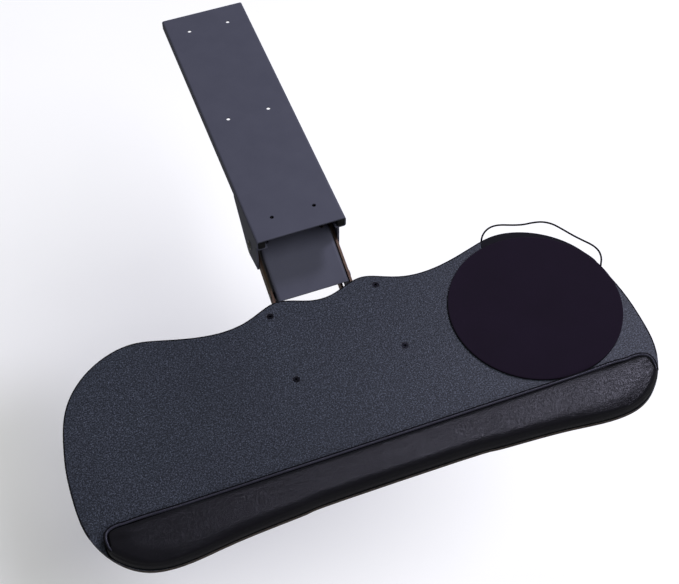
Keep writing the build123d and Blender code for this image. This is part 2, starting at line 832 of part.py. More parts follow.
with BuildSketch(board_under) as board_outline:
    with BuildLine():
        Spline(
            (0, board_notch_y),
            (notch_rise_x, notch_rise_y),
            (lobe_crest_x, lobe_crest_y),
            (lobe_fall_x, lobe_fall_y),
            (lobe_foot_x, lobe_foot_y),
            *outline_points(rear_shares + side_shares),
            tangents=[(1, 0), (0, -1)],
        )
        front_edge()
        mirror(about=Plane.YZ)
    make_face()

screw_places = [
    (x, y)
    for x in (-board_screw_x, board_screw_x)
    for y in (board_screw_rear_y, board_screw_front_y)
]
rest_screw_places = [
    (x, rest_screw_y)
    for x in (-rest_screw_outer_x, -rest_screw_inner_x, rest_screw_inner_x, rest_screw_outer_x)
]
cord_points = [
    Vector(x, head_y + y, board_top_z - drop)
    for (x, y), drop in zip(outline_points(cord_shares), cord_drops)
]
cord_runs = [b - a for a, b in zip(cord_points, cord_points[1:])]
clip_places = []
for end_point, run in ((cord_points[0], cord_runs[0]), (cord_points[-1], -cord_runs[-1])):
    way = Vector(run.X, run.Y, 0).normalized()
    middle = end_point - way * clip_length / 2
    clip_places.append(Plane(origin=(middle.X, middle.Y, board_under_z), x_dir=way, z_dir=(0, 0, 1)))
with BuildPart() as board:
    add(board_outline.sketch)
    extrude(amount=board_thickness)
    with Locations(board_plane):
        with Locations(*screw_places):
            CounterSinkHole(
                board_screw_radius + slack,
                board_screw_head_radius + slack,
                counter_sink_angle=board_screw_angle,
            )
        with Locations(*rest_screw_places):
            Hole(rest_screw_radius + slack)
    with Locations(*clip_places):
        Cylinder(
            clip_screw_radius + running,
            clip_screw_bite + running,
            align=(Align.CENTER, Align.CENTER, Align.MIN),
            mode=Mode.SUBTRACT,
        )
save(board.part, "board")

screw_length = board_thickness + head_sheet + board_nut_height + board_screw_tail
socket_depth = board_screw_head_radius - board_screw_radius
with BuildPart() as board_screws:
    with Locations(board_plane):
        with Locations(*screw_places):
            Cylinder(board_screw_radius, screw_length, align=(Align.CENTER, Align.CENTER, Align.MAX))
            Cone(
                board_screw_radius,
                board_screw_head_radius,
                socket_depth,
                align=(Align.CENTER, Align.CENTER, Align.MAX),
            )
    with BuildSketch(board_plane):
        with Locations(*screw_places):
            RegularPolygon(board_socket_across / 2, 6, major_radius=False)
    extrude(amount=-socket_depth, mode=Mode.SUBTRACT)
save(board_screws.part, "board_screws")

with BuildPart() as board_nuts:
    with BuildSketch(board_under.offset(-head_sheet)):
        with Locations(*screw_places):
            RegularPolygon(board_nut_across / 2, 6, major_radius=False)
            Circle(board_screw_radius + running, mode=Mode.SUBTRACT)
    extrude(amount=-board_nut_height)
save(board_nuts.part, "board_nuts")

# Palm rest: a long cushion that follows the board's front edge, crowned along its middle and drawn in at
# its foot, on a thin base that is screwed up from below
def rest_outline(inset):
    """Plan of the palm rest, drawn in by an inset all round."""
    with BuildSketch() as plan:
        with BuildLine():
            front_edge(rest_inset + inset)
            widest = outline_points(front_shares[:1], rest_inset + inset)[0]
            Line((0, widest[1]), widest)
            mirror(about=Plane.YZ)
        make_face()
        with Locations((0, rest_back_y - inset)):
            Rectangle(
                2 * (rest_half_length - inset),
                board_depth,
                align=(Align.CENTER, Align.MAX),
                mode=Mode.INTERSECT,
            )
        side_corners, rear_corners = plan.vertices().group_by(Axis.Y)[-2:]
        fillet(side_corners + rear_corners, rest_corner - inset)
    return plan.sketch_local


with BuildPart() as rest_base:
    with BuildSketch(board_plane):
        add(rest_outline(rest_base_inset))
    extrude(amount=rest_base_thickness)
    with Locations(board_plane):
        with Locations(*rest_screw_places):
            Hole(rest_screw_radius + running)
save(rest_base.part, "rest_base")

crown_front_y = head_y + rest_front_y - overrun
crown_back_y = head_y + rest_back_y + overrun
crown_foot_z = board_top_z + rest_height - rest_crown
with BuildPart() as palm_rest:
    with BuildSketch(board_plane.offset(rest_base_thickness)):
        add(rest_outline(0))
    extrude(amount=rest_height - rest_base_thickness)
    with BuildSketch(Plane.YZ.offset(-half_board)):
        with BuildLine():
            ThreePointArc(
                (crown_front_y, crown_foot_z),
                ((crown_front_y + crown_back_y) / 2, board_top_z + rest_height),
                (crown_back_y, crown_foot_z),
            )
            Polyline(
                (crown_back_y, crown_foot_z),
                (crown_back_y, board_under_z),
                (crown_front_y, board_under_z),
                (crown_front_y, crown_foot_z),
            )
        make_face()
    extrude(amount=board_width, mode=Mode.INTERSECT)
    fillet(palm_rest.faces().sort_by(Axis.Z)[-1].edges(), rest_top_round)
    fillet(palm_rest.faces().sort_by(Axis.Z)[0].edges(), rest_foot_round)
save(palm_rest.part, "palm_rest")

with BuildPart() as rest_screws:
    with Locations(board_under):
        with Locations(*rest_screw_places):
            Cylinder(
                rest_screw_head_radius,
                rest_screw_head_height,
                align=(Align.CENTER, Align.CENTER, Align.MAX),
            )
    fillet(rest_screws.faces().group_by(Axis.Z)[0].edges(), rest_screw_head_height / 2)
    with Locations(board_under):
        with Locations(*rest_screw_places):
            Cylinder(
                rest_screw_radius,
                board_thickness + rest_screw_bite,
                align=(Align.CENTER, Align.CENTER, Align.MIN),
            )
save(rest_screws.part, "rest_screws")

# Mouse pad: a round mat with softened rims
with BuildPart() as mouse_pad:
    with BuildSketch(board_plane):
        with Locations((pad_x, pad_y)):
            Circle(pad_radius)
    extrude(amount=pad_thickness)
    fillet(mouse_pad.faces().sort_by(Axis.Z)[-1].edges(), pad_round)
save(mouse_pad.part, "mouse_pad")

# Elastic cord: straight runs joined by arcs as large as the runs allow, between two clips under the board
cord_radii = []
for run, next_run in zip(cord_runs, cord_runs[1:]):
    half_bend = radians(run.get_angle(next_run)) / 2
    cord_radii.append(cord_arc_share * min(run.length, next_run.length) / tan(half_bend))
print("cord radii", [round(radius, 1) for radius in cord_radii])
with BuildPart() as cord_loop:
    with BuildLine() as cord_path:
        FilletPolyline(*cord_points, radius=cord_radii)
    cord_wire = cord_path.wire()
    with BuildSketch(Plane(origin=cord_wire @ 0, z_dir=cord_wire % 0)):
        Circle(cord_diameter / 2)
    sweep(path=cord_wire)
save(cord_loop.part, "cord_loop")
cord_section = pi * (cord_diameter / 2) ** 2
print("cord length", round(cord_wire.length, 1))
print("cord volume", round(cord_loop.part.volume, 1))
print("cord section times length", round(cord_wire.length * cord_section, 1))

# Clips that grip the cord's ends, each screwed up into the board
with BuildPart() as cord_clips:
    with Locations(*clip_places):
        Box(clip_length, clip_width, clip_height, align=(Align.CENTER, Align.CENTER, Align.MAX))
    fillet(cord_clips.faces().group_by(Axis.Z)[0].edges(), clip_round)
    with Locations(*clip_places):
        Hole(clip_screw_radius + running)
save(cord_clips.part, "cord_clips")
with BuildPart() as clip_screws:
    with Locations(*[place.offset(-clip_height) for place in clip_places]):
        Cylinder(
            clip_screw_head_radius,
            clip_screw_head_height,
            align=(Align.CENTER, Align.CENTER, Align.MAX),
        )
    fillet(clip_screws.faces().group_by(Axis.Z)[0].edges(), clip_screw_head_height / 2)
    with Locations(*[place.offset(-clip_height) for place in clip_places]):
        Cylinder(
            clip_screw_radius,
            clip_height + clip_screw_bite,
            align=(Align.CENTER, Align.CENTER, Align.MIN),
        )
save(clip_screws.part, "clip_screws")
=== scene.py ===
import json
import math

import bmesh
import bpy
import numpy as np
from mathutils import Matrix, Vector, noise


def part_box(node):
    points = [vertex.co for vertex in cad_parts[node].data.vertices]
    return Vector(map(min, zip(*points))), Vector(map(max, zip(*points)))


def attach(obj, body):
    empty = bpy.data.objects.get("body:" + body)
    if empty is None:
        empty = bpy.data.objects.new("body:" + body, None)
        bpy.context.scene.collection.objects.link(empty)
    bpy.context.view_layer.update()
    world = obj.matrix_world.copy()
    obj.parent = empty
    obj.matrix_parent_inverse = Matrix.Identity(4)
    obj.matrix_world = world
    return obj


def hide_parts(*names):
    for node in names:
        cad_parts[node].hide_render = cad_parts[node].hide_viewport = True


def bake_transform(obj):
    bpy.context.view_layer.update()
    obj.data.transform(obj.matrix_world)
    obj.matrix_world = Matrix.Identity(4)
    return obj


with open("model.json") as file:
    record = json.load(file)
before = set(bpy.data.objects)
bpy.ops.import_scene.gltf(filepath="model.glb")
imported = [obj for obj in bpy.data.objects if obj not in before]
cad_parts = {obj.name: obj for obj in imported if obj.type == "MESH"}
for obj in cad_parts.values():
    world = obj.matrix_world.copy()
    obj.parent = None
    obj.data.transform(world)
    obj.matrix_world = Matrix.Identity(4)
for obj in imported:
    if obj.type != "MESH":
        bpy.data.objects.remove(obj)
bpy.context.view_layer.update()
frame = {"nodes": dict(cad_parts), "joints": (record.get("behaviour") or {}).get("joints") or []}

nodes = frame["nodes"]
jointPlaces = {joint["name"]: joint.get("pos_m") for joint in frame["joints"]}
mm = 0.001
# the rest, pad, strip and cord are placed from the board's top face and the tilt axis
boardTop = round(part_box("board")[1][2], 7)
headY = round(jointPlaces["tilt"][1], 7)
print("frame loaded,", len(nodes), "nodes")


def addTurned(name, data, place, direction):
    # a camera or lamp that looks along a direction
    thing = bpy.data.objects.new(name, data)
    bpy.context.scene.collection.objects.link(thing)
    thing.location = place
    thing.rotation_mode = "QUATERNION"
    thing.rotation_quaternion = Vector(direction).to_track_quat("-Z", "Y")
    return thing


# camera: in front of the left end, looking down on the tray
cameraPlace = {
    "location": (-0.3118, -1.18362, 1.26339),
    "direction": (0.2062, 0.5530, -0.8073),
    "lens": 69.24,
    "sensor": 36.0,
}
cameraData = bpy.data.cameras.new("photo_camera")
cameraData.lens = cameraPlace["lens"]
cameraData.sensor_width = cameraPlace["sensor"]
camera = addTurned("photo_camera", cameraData, cameraPlace["location"], cameraPlace["direction"])
bpy.context.scene.camera = camera


# elastic cord: from the clip behind the board out over its right shoulder to the clip at the side
cordLoop = {
    "diameter": 0.0024,
    "length": 0.236,
    "points": [  # from the tilt axis and the board's top face
        (0.2190, 0.0055, -0.0080), (0.2235, 0.0160, -0.0080), (0.2310, 0.0275, -0.0083),
        (0.2430, 0.0355, -0.0092), (0.2570, 0.0366, -0.0102), (0.2745, 0.0309, -0.0120),
        (0.2885, 0.0270, -0.0128), (0.3035, 0.0263, -0.0135), (0.3165, 0.0232, -0.0140),
        (0.3265, 0.0155, -0.0140), (0.3335, 0.0038, -0.0135), (0.3420, -0.0120, -0.0126),
        (0.3505, -0.0255, -0.0116), (0.3575, -0.0360, -0.0106), (0.3608, -0.0480, -0.0096),
        (0.3580, -0.0605, -0.0087), (0.3508, -0.0715, -0.0081), (0.3445, -0.0808, -0.0080),
    ],
}
cordCurve = bpy.data.curves.new("cord_loop_elastic", "CURVE")
cordCurve.dimensions = "3D"
cordCurve.bevel_depth = 1.0  # each point's radius gives the thickness, so that the curve's box is true
cordCurve.bevel_resolution = 5
cordCurve.resolution_u = 10
cordSpline = cordCurve.splines.new("NURBS")
cordSpline.points.add(len(cordLoop["points"]) - 1)
for point, (x, y, z) in zip(cordSpline.points, cordLoop["points"]):
    point.co = (x, headY + y, boardTop + z, 1)
    point.radius = cordLoop["diameter"] / 2
cordSpline.order_u = 3
cordSpline.use_endpoint_u = True
cord = bpy.data.objects.new("cord_loop_elastic", cordCurve)
bpy.context.scene.collection.objects.link(cord)
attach(cord, "head")
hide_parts("cord_loop")
print("camera and cord placed")


waveBand = 0.31  # a wave texture of scale 1 repeats after this length
noiseRange = (0.3, 0.7)  # most of a noise texture's values lie between these


def linearColour(hexValue):
    parts = [int(hexValue[i:i + 2], 16) / 255 for i in (1, 3, 5)]
    return [c / 12.92 if c <= 0.04045 else ((c + 0.055) / 1.055) ** 2.4 for c in parts] + [1.0]


def perMetre(size):
    # the texture scale at which a pattern of this size in millimetres repeats
    return 1 / (size * mm)


def fillInputs(node, inputs):
    # a list fills the inputs in their order; a node or socket is linked, and any other value is set
    pairs = inputs.items() if isinstance(inputs, dict) else enumerate(inputs)
    for key, value in pairs:
        if isinstance(value, bpy.types.Node):
            value = next(output for output in value.outputs if output.enabled)
        if isinstance(value, bpy.types.NodeSocket):
            node.id_data.links.new(value, node.inputs[key])
        else:
            node.inputs[key].default_value = value


def addNode(material, kind, inputs=(), stops=(), **settings):
    # stops are the places and colours of a colour ramp
    node = material.node_tree.nodes.new("ShaderNode" + kind)
    for key, value in settings.items():
        setattr(node, key, value)
    fillInputs(node, inputs)
    while stops and len(node.color_ramp.elements) < len(stops):
        node.color_ramp.elements.new(0.5)
    for i, (position, hexValue) in enumerate(stops):
        node.color_ramp.elements[i].position = position
        node.color_ramp.elements[i].color = linearColour(hexValue)
    return node


def newMaterial(name):
    material = bpy.data.materials.new(name)
    material.use_nodes = True
    place = addNode(material, "TexCoord").outputs["Object"]
    return material, material.node_tree.nodes["Principled BSDF"], place


# In all looks below, pattern sizes and the depth of the bumps are in millimetres. A range node is filled with
# its value, the range it comes from and the range it goes to. A colour mix has its share in input 0 and its
# colours in 6 and 7.

# powder-coated steel: sprayed and baked, so a satin skin with a faint orange peel
powderCoat = {
    "tints": [(0.35, "#3f404c"), (0.72, "#42434f")], "fleck": "#6c6c76", "fleckFrom": (0.62, 0.74),
    "fleckShare": 0.2, "roughness": (0.44, 0.5),
    "peel": 1.3, "grit": 0.45, "cloud": 35.7, "gritShare": 0.35, "depth": 0.06,
}


def makePowderCoat():
    look = powderCoat
    material, shader, place = newMaterial("powder_coated_steel")
    peel = addNode(material, "TexNoise", {"Vector": place, "Scale": perMetre(look["peel"]), "Detail": 3.0})
    grit = addNode(material, "TexNoise", {"Vector": place, "Scale": perMetre(look["grit"]), "Detail": 2.0})
    cloud = addNode(
        material, "TexNoise",
        {"Vector": place, "Scale": perMetre(look["cloud"]), "Detail": 5.0, "Roughness": 0.6},
    )
    tint = addNode(material, "ValToRGB", [cloud], stops=look["tints"])
    flecks = addNode(material, "MapRange", [grit, *look["fleckFrom"], 0.0, look["fleckShare"]])
    fineGrit = addNode(material, "Math", [grit, look["gritShare"]], operation="MULTIPLY")
    height = addNode(material, "Math", [peel, fineGrit], operation="ADD")
    colour = addNode(material, "Mix", {0: flecks, 6: tint, 7: linearColour(look["fleck"])}, data_type="RGBA")
    fillInputs(shader, {
        "Metallic": 0.0, "IOR": 1.5, "Specular IOR Level": 0.35,
        "Base Color": colour,
        "Roughness": addNode(material, "MapRange", [cloud, *noiseRange, *look["roughness"]]),
        "Normal": addNode(material, "Bump", {"Height": height, "Distance": look["depth"] * mm}),
    })
    return material


# zinc-plated steel: bright dipped, so a soft cold shine with a cloudy spangle
zincPlate = {
    "tints": [(0.45, "#c9c9c4"), (0.85, "#9d9b92")], "roughness": (0.24, 0.42),
    "spangle": 3.5, "spangleShare": 0.35, "haze": 5.26, "hazeDepth": 0.03, "lathe": 0.62, "latheDepth": 0.02,
}


def makeZinc(name, turned):
    look = zincPlate
    material, shader, place = newMaterial(name)
    spangle = addNode(material, "TexVoronoi", {"Vector": place, "Scale": perMetre(look["spangle"])})
    haze = addNode(material, "TexNoise", {"Vector": place, "Scale": perMetre(look["haze"]), "Detail": 6.0})
    cells = addNode(material, "Math", [spangle, look["spangleShare"]], operation="MULTIPLY")
    mottle = addNode(material, "Math", [cells, haze], operation="ADD")
    height, depth = haze, look["hazeDepth"]
    if turned:  # rings left by the lathe, round the X axis
        rings = addNode(
            material, "TexWave",
            {"Vector": place, "Scale": waveBand * perMetre(look["lathe"]), "Distortion": 1.2, "Detail": 2.0},
            bands_direction="X",
        )
        height, depth = rings.outputs["Fac"], look["latheDepth"]
    fillInputs(shader, {
        "Metallic": 1.0,
        "Base Color": addNode(material, "ValToRGB", [mottle], stops=look["tints"]),
        "Roughness": addNode(material, "MapRange", [haze, *noiseRange, *look["roughness"]]),
        "Normal": addNode(material, "Bump", {"Height": height, "Distance": depth * mm}),
    })
    return material


# bronze-passivated zinc on stamped bars: a dark brown shine that drifts to olive and rose; the brown is
# partly a painted reflection of a warm wooden desk
bronzeAndWoodReflection = {
    "tints": [(0.34, "#7f7260"), (0.5, "#957c6a"), (0.68, "#907266")], "roughness": (0.38, 0.52),
    "drift": 23.8, "stampLines": 1.1, "stretch": (1.0, 0.08, 1.0), "depth": 0.03,
}


def makeBronzeReflectionSteel():
    look = bronzeAndWoodReflection
    material, shader, place = newMaterial("bronze_steel_painted_wood_reflection")
    drift = addNode(
        material, "TexNoise",
        {"Vector": place, "Scale": perMetre(look["drift"]), "Detail": 4.0, "Distortion": 0.6},
    )
    along = addNode(material, "Mapping", {"Vector": place, "Scale": look["stretch"]})
    streaks = addNode(
        material, "TexNoise", {"Vector": along, "Scale": perMetre(look["stampLines"]), "Detail": 3.0}
    )
    fillInputs(shader, {
        "Metallic": 1.0,
        "Base Color": addNode(material, "ValToRGB", [drift], stops=look["tints"]),
        "Roughness": addNode(material, "MapRange", [streaks, *noiseRange, *look["roughness"]]),
        "Normal": addNode(material, "Bump", {"Height": streaks, "Distance": look["depth"] * mm}),
    })
    return material


# black oxide on machined screws: near black with a dull oily sheen
blackOxide = {
    "tints": [(0.3, "#1b1b1f"), (0.75, "#34343b")], "roughness": (0.3, 0.5), "haze": 1.92, "depth": 0.03,
}


def makeBlackOxide():
    look = blackOxide
    material, shader, place = newMaterial("black_oxide_steel")
    haze = addNode(material, "TexNoise", {"Vector": place, "Scale": perMetre(look["haze"]), "Detail": 5.0})
    fillInputs(shader, {
        "Metallic": 1.0,
        "Base Color": addNode(material, "ValToRGB", [haze], stops=look["tints"]),
        "Roughness": addNode(material, "MapRange", [haze, *noiseRange, *look["roughness"]]),
        "Normal": addNode(material, "Bump", {"Height": haze, "Distance": look["depth"] * mm}),
    })
    return material


# oiled spring steel: cold-drawn wire, dark, with fine scratches that run along the wire
springWire = {
    "tints": [(0.3, "#2e2c2b"), (0.6, "#4b4744"), (0.8, "#6a5a48")], "roughness": (0.22, 0.42),
    "haze": 4.17, "drawLines": 0.344, "depth": 0.02,
}


def makeSpringSteel():
    look = springWire
    material, shader, place = newMaterial("oiled_spring_steel")
    haze = addNode(material, "TexNoise", {"Vector": place, "Scale": perMetre(look["haze"]), "Detail": 6.0})
    draw = addNode(
        material, "TexWave",
        {"Vector": place, "Scale": waveBand * perMetre(look["drawLines"]), "Distortion": 2.5, "Detail": 3.0},
        bands_direction="X",
    ).outputs["Fac"]
    fillInputs(shader, {
        "Metallic": 1.0,
        "Base Color": addNode(material, "ValToRGB", [haze], stops=look["tints"]),
        "Roughness": addNode(material, "MapRange", [haze, *noiseRange, *look["roughness"]]),
        "Normal": addNode(material, "Bump", {"Height": draw, "Distance": look["depth"] * mm}),
    })
    return material


# natural nylon: injection moulded, milky, light goes a little way in
naturalNylon = {
    "tints": [(0.3, "#cfc9b8"), (0.7, "#e4e0d2")], "cloud": 8.33, "skin": 0.455, "depth": 0.03,
}


def makeNylon():
    look = naturalNylon
    material, shader, place = newMaterial("natural_nylon")
    cloud = addNode(material, "TexNoise", {"Vector": place, "Scale": perMetre(look["cloud"]), "Detail": 4.0})
    skin = addNode(material, "TexNoise", {"Vector": place, "Scale": perMetre(look["skin"]), "Detail": 2.0})
    fillInputs(shader, {
        "Roughness": 0.46, "IOR": 1.53, "Subsurface Weight": 0.25, "Subsurface Scale": 0.002,
        "Base Color": addNode(material, "ValToRGB", [cloud], stops=look["tints"]),
        "Normal": addNode(material, "Bump", {"Height": skin, "Distance": look["depth"] * mm}),
    })
    return material


# black polypropylene: moulded in a spark-eroded tool, so an even matt grain
blackPlastic = {
    "tints": [(0.4, "#17171a"), (0.8, "#2a2a2e")], "roughness": (0.42, 0.6),
    "grain": 0.6, "cloud": 14.3, "depth": 0.08,
}


def makeBlackPlastic():
    look = blackPlastic
    material, shader, place = newMaterial("moulded_black_polypropylene")
    grain = addNode(material, "TexNoise", {"Vector": place, "Scale": perMetre(look["grain"]), "Detail": 3.0})
    cloud = addNode(material, "TexNoise", {"Vector": place, "Scale": perMetre(look["cloud"]), "Detail": 5.0})
    fillInputs(shader, {
        "IOR": 1.49,
        "Base Color": addNode(material, "ValToRGB", [cloud], stops=look["tints"]),
        "Roughness": addNode(material, "MapRange", [grain, *noiseRange, *look["roughness"]]),
        "Normal": addNode(material, "Bump", {"Height": grain, "Distance": look["depth"] * mm}),
    })
    return material


# moulded rubber and soft black plastic: dull and slightly dusty; the same look, near black, paints shade at
# the palm rest's seam, piping and foot
dullBlack = {"cloud": 6.67, "pores": 0.667, "depth": 0.06}


def makeDullBlack(name, body, dust):
    look = dullBlack
    material, shader, place = newMaterial(name)
    cloud = addNode(
        material, "TexNoise",
        {"Vector": place, "Scale": perMetre(look["cloud"]), "Detail": 7.0, "Roughness": 0.65},
    )
    pores = addNode(material, "TexNoise", {"Vector": place, "Scale": perMetre(look["pores"]), "Detail": 2.0})
    fillInputs(shader, {
        "IOR": 1.52, "Roughness": 0.82, "Specular IOR Level": 0.25,
        "Base Color": addNode(material, "ValToRGB", [cloud], stops=[(0.42, body), (0.8, dust)]),
        "Normal": addNode(material, "Bump", {"Height": pores, "Distance": look["depth"] * mm}),
    })
    return material


# textured laminate pressed on fibreboard: slate grey, a fine dark and light pebble grain all over;
# a rough brown edge in front, where no band covers the fibreboard
laminate = {
    "tints": [(0.32, "#14161c"), (0.5, "#272a31"), (0.68, "#494e5c")], "paintedGlint": "#808798", "worn": "#14161c",
    "rawTints": [(0.36, "#15110f"), (0.66, "#4a4039")], "backer": "#1d1e22", "roughness": (0.5, 0.34),
    "pebble": 1.8, "grit": 1.1, "patch": 143, "fibre": 1.43, "depth": 0.35,
    "sparkCells": (0.9, 0.95), "sparkReach": (0.45, 0.2), "sparkShare": 0.55,
    "patchFrom": (0.35, 0.7), "patchShare": 0.18,
    "topFrom": (0.9, 0.96), "underFrom": (-0.5, -0.6),  # how far up a face looks, from 1 to -1
}


def makeLaminate():
    look = laminate
    material, shader, place = newMaterial("textured_slate_laminate")
    pebble = addNode(
        material, "TexNoise",
        {"Vector": place, "Scale": perMetre(look["pebble"]), "Detail": 3.0, "Roughness": 0.7},
    )
    grit = addNode(material, "TexVoronoi", {"Vector": place, "Scale": perMetre(look["grit"])})
    patch = addNode(material, "TexNoise", {"Vector": place, "Scale": perMetre(look["patch"]), "Detail": 4.0})
    fibre = addNode(material, "TexNoise", {"Vector": place, "Scale": perMetre(look["fibre"]), "Detail": 6.0})
    grain = addNode(material, "ValToRGB", [pebble], stops=look["tints"])
    # one cell of the grit in ten has a bright middle: light flecks of the grain, brightened as painted glints
    chosen = addNode(material, "SeparateColor", {"Color": grit.outputs["Color"]}).outputs[0]
    bright = addNode(material, "MapRange", [chosen, *look["sparkCells"], 0.0, 1.0])
    middle = addNode(material, "MapRange", [grit, *look["sparkReach"], 0.0, look["sparkShare"]])
    paintedGlint = addNode(material, "Math", [bright, middle], operation="MULTIPLY")
    top = addNode(material, "Mix", {0: paintedGlint, 6: grain, 7: linearColour(look["paintedGlint"])}, data_type="RGBA")
    patches = addNode(material, "MapRange", [patch, *look["patchFrom"], 0.0, look["patchShare"]])
    worn = addNode(material, "Mix", {0: patches, 6: top, 7: linearColour(look["worn"])}, data_type="RGBA")
    # the face that looks up has the laminate, the one that looks down a plain backer, and the edge is raw
    upward = addNode(material, "SeparateXYZ", {"Vector": place.node.outputs["Normal"]}).outputs["Z"]
    raw = addNode(material, "ValToRGB", [fibre], stops=look["rawTints"])
    isUnder = addNode(material, "MapRange", [upward, *look["underFrom"], 0.0, 1.0])
    under = addNode(material, "Mix", {0: isUnder, 6: raw, 7: linearColour(look["backer"])}, data_type="RGBA")
    isTop = addNode(material, "MapRange", [upward, *look["topFrom"], 0.0, 1.0])
    fillInputs(shader, {
        "IOR": 1.5, "Specular IOR Level": 0.2,
        "Base Color": addNode(material, "Mix", {0: isTop, 6: under, 7: worn}, data_type="RGBA"),
        "Roughness": addNode(material, "MapRange", [pebble, *noiseRange, *look["roughness"]]),
        "Normal": addNode(material, "Bump", {"Height": pebble, "Distance": look["depth"] * mm}),
    })
    return material


# leatherette: coated cloth embossed with a fine hide grain, soft sheen that opens on the shoulders
leatherette = {
    "crease": "#060508", "creaseShare": 0.55, "creaseWidth": 0.12, "pillowEdge": 0.25,
    "roughness": (0.28, 0.34),
    "grain": 1.1, "pore": 0.4, "poreShare": 0.4, "cloud": 62.5, "depth": 0.09,
}


def makeLeatherette(name, body, rub):
    look = leatherette
    material, shader, place = newMaterial(name)
    cells = addNode(
        material, "TexVoronoi", {"Vector": place, "Scale": perMetre(look["grain"])},
        feature="DISTANCE_TO_EDGE",
    )
    pore = addNode(material, "TexNoise", {"Vector": place, "Scale": perMetre(look["pore"]), "Detail": 3.0})
    cloud = addNode(
        material, "TexNoise",
        {"Vector": place, "Scale": perMetre(look["cloud"]), "Detail": 6.0, "Roughness": 0.6},
    )
    tint = addNode(material, "ValToRGB", [cloud], stops=[(0.35, body), (0.7, rub)])
    crease = addNode(material, "MapRange", [cells, 0.0, look["creaseWidth"], look["creaseShare"], 0.0])
    pillow = addNode(material, "MapRange", [cells, 0.0, look["pillowEdge"], 0.0, 1.0])
    finePore = addNode(material, "Math", [pore, look["poreShare"]], operation="MULTIPLY")
    height = addNode(material, "Math", [pillow, finePore], operation="ADD")
    colour = addNode(material, "Mix", {0: crease, 6: tint, 7: linearColour(look["crease"])}, data_type="RGBA")
    fillInputs(shader, {
        "IOR": 1.5, "Specular IOR Level": 0.42, "Sheen Weight": 0.008, "Sheen Roughness": 0.4,
        "Base Color": colour,
        "Roughness": addNode(material, "MapRange", [cloud, *noiseRange, *look["roughness"]]),
        "Normal": addNode(material, "Bump", {"Height": height, "Distance": look["depth"] * mm}),
    })
    return material


# knitted pad cloth: fine polyester loops bonded to foam rubber, a dull plum black
padCloth = {
    "thread": "#1e1624", "gap": "#120d17", "rub": "#1c1423", "rubShare": 0.3,
    "threadFrom": (0.05, 0.6), "rubFrom": (0.35, 0.75),
    "loop": 1.2,  # the real loops are 0.5 mm, drawn coarser to show
    "cloud": 45.5, "depth": 0.12,
}


def makePadCloth():
    look = padCloth
    material, shader, place = newMaterial("knitted_pad_cloth")
    columns, rows = [
        addNode(
            material, "TexWave",
            {"Vector": place, "Scale": waveBand * perMetre(look["loop"]), "Distortion": 0.5, "Detail": 1.0},
            bands_direction=direction,
        ).outputs["Fac"]
        for direction in ("X", "Y")
    ]
    knit = addNode(material, "Math", [columns, rows], operation="MULTIPLY")
    cloud = addNode(material, "TexNoise", {"Vector": place, "Scale": perMetre(look["cloud"]), "Detail": 6.0})
    onThread = addNode(material, "MapRange", [knit, *look["threadFrom"], 0.0, 1.0])
    base = addNode(
        material, "Mix",
        {0: onThread, 6: linearColour(look["gap"]), 7: linearColour(look["thread"])}, data_type="RGBA",
    )
    rubbed = addNode(material, "MapRange", [cloud, *look["rubFrom"], 0.0, look["rubShare"]])
    colour = addNode(material, "Mix", {0: rubbed, 6: base, 7: linearColour(look["rub"])}, data_type="RGBA")
    fillInputs(shader, {
        "Roughness": 0.9, "IOR": 1.45, "Specular IOR Level": 0.12,
        "Sheen Weight": 0.04, "Sheen Roughness": 0.5,
        "Base Color": colour,
        "Normal": addNode(material, "Bump", {"Height": knit, "Distance": look["depth"] * mm}),
    })
    return material


# hardboard: pressed fibres stained black right through, with a burnished face
pressedFibre = {"tints": [(0.3, "#0c0a09"), (0.7, "#191512")], "fibre": 1.43, "depth": 0.08}


def makeHardboard():
    look = pressedFibre
    material, shader, place = newMaterial("black_hardboard")
    size = perMetre(look["fibre"])
    fibre = addNode(
        material, "TexNoise",
        {"Vector": place, "Scale": size, "Detail": 8.0, "Roughness": 0.7, "Distortion": 1.5},
    )
    fillInputs(shader, {
        "Roughness": 0.6, "Specular IOR Level": 0.3,
        "Base Color": addNode(material, "ValToRGB", [fibre], stops=look["tints"]),
        "Normal": addNode(material, "Bump", {"Height": fibre, "Distance": look["depth"] * mm}),
    })
    return material


# woven elastic: rubber core in a braided black sleeve, ribs run slantwise round it
braid = {"tints": [(0.2, "#060607"), (0.8, "#131316")], "rib": 0.9, "slant": (0.5, 0.6, 0.8), "depth": 0.1}


def makeElastic():
    look = braid
    material, shader, place = newMaterial("woven_elastic")
    slant = addNode(material, "Mapping", {"Vector": place, "Rotation": look["slant"]})
    ribs = addNode(
        material, "TexWave", {"Vector": slant, "Scale": waveBand * perMetre(look["rib"]), "Distortion": 0.6}
    ).outputs["Fac"]
    fillInputs(shader, {
        "Roughness": 0.8, "Specular IOR Level": 0.2,
        "Base Color": addNode(material, "ValToRGB", [ribs], stops=look["tints"]),
        "Normal": addNode(material, "Bump", {"Height": ribs, "Distance": look["depth"] * mm}),
    })
    return material


powder = makePowderCoat()
zinc = makeZinc("zinc_plated_steel", turned=False)
turnedZinc = makeZinc("turned_zinc_plated_steel", turned=True)
bars = makeBronzeReflectionSteel()
oxide = makeBlackOxide()
springSteel = makeSpringSteel()
nylon = makeNylon()
plastic = makeBlackPlastic()
bumperRubber = makeDullBlack("moulded_bumper_rubber", "#111112", "#262524")
padRubber = makeDullBlack("foamed_pad_rubber", "#09090b", "#121215")
bandPlastic = makeDullBlack("extruded_edge_band", "#08080a", "#0e0e11")
stripPlastic = makeDullBlack("smooth_black_strip", "#0d0c12", "#111016")
board = makeLaminate()
hide = makeLeatherette("embossed_leatherette", "#06050b", "#0a090f")
# a lighter copy of the leatherette for the piping: painted highlight on its lit crest
pipingHighlightHide = makeLeatherette("piping_leatherette_painted_highlight", "#282833", "#30303c")
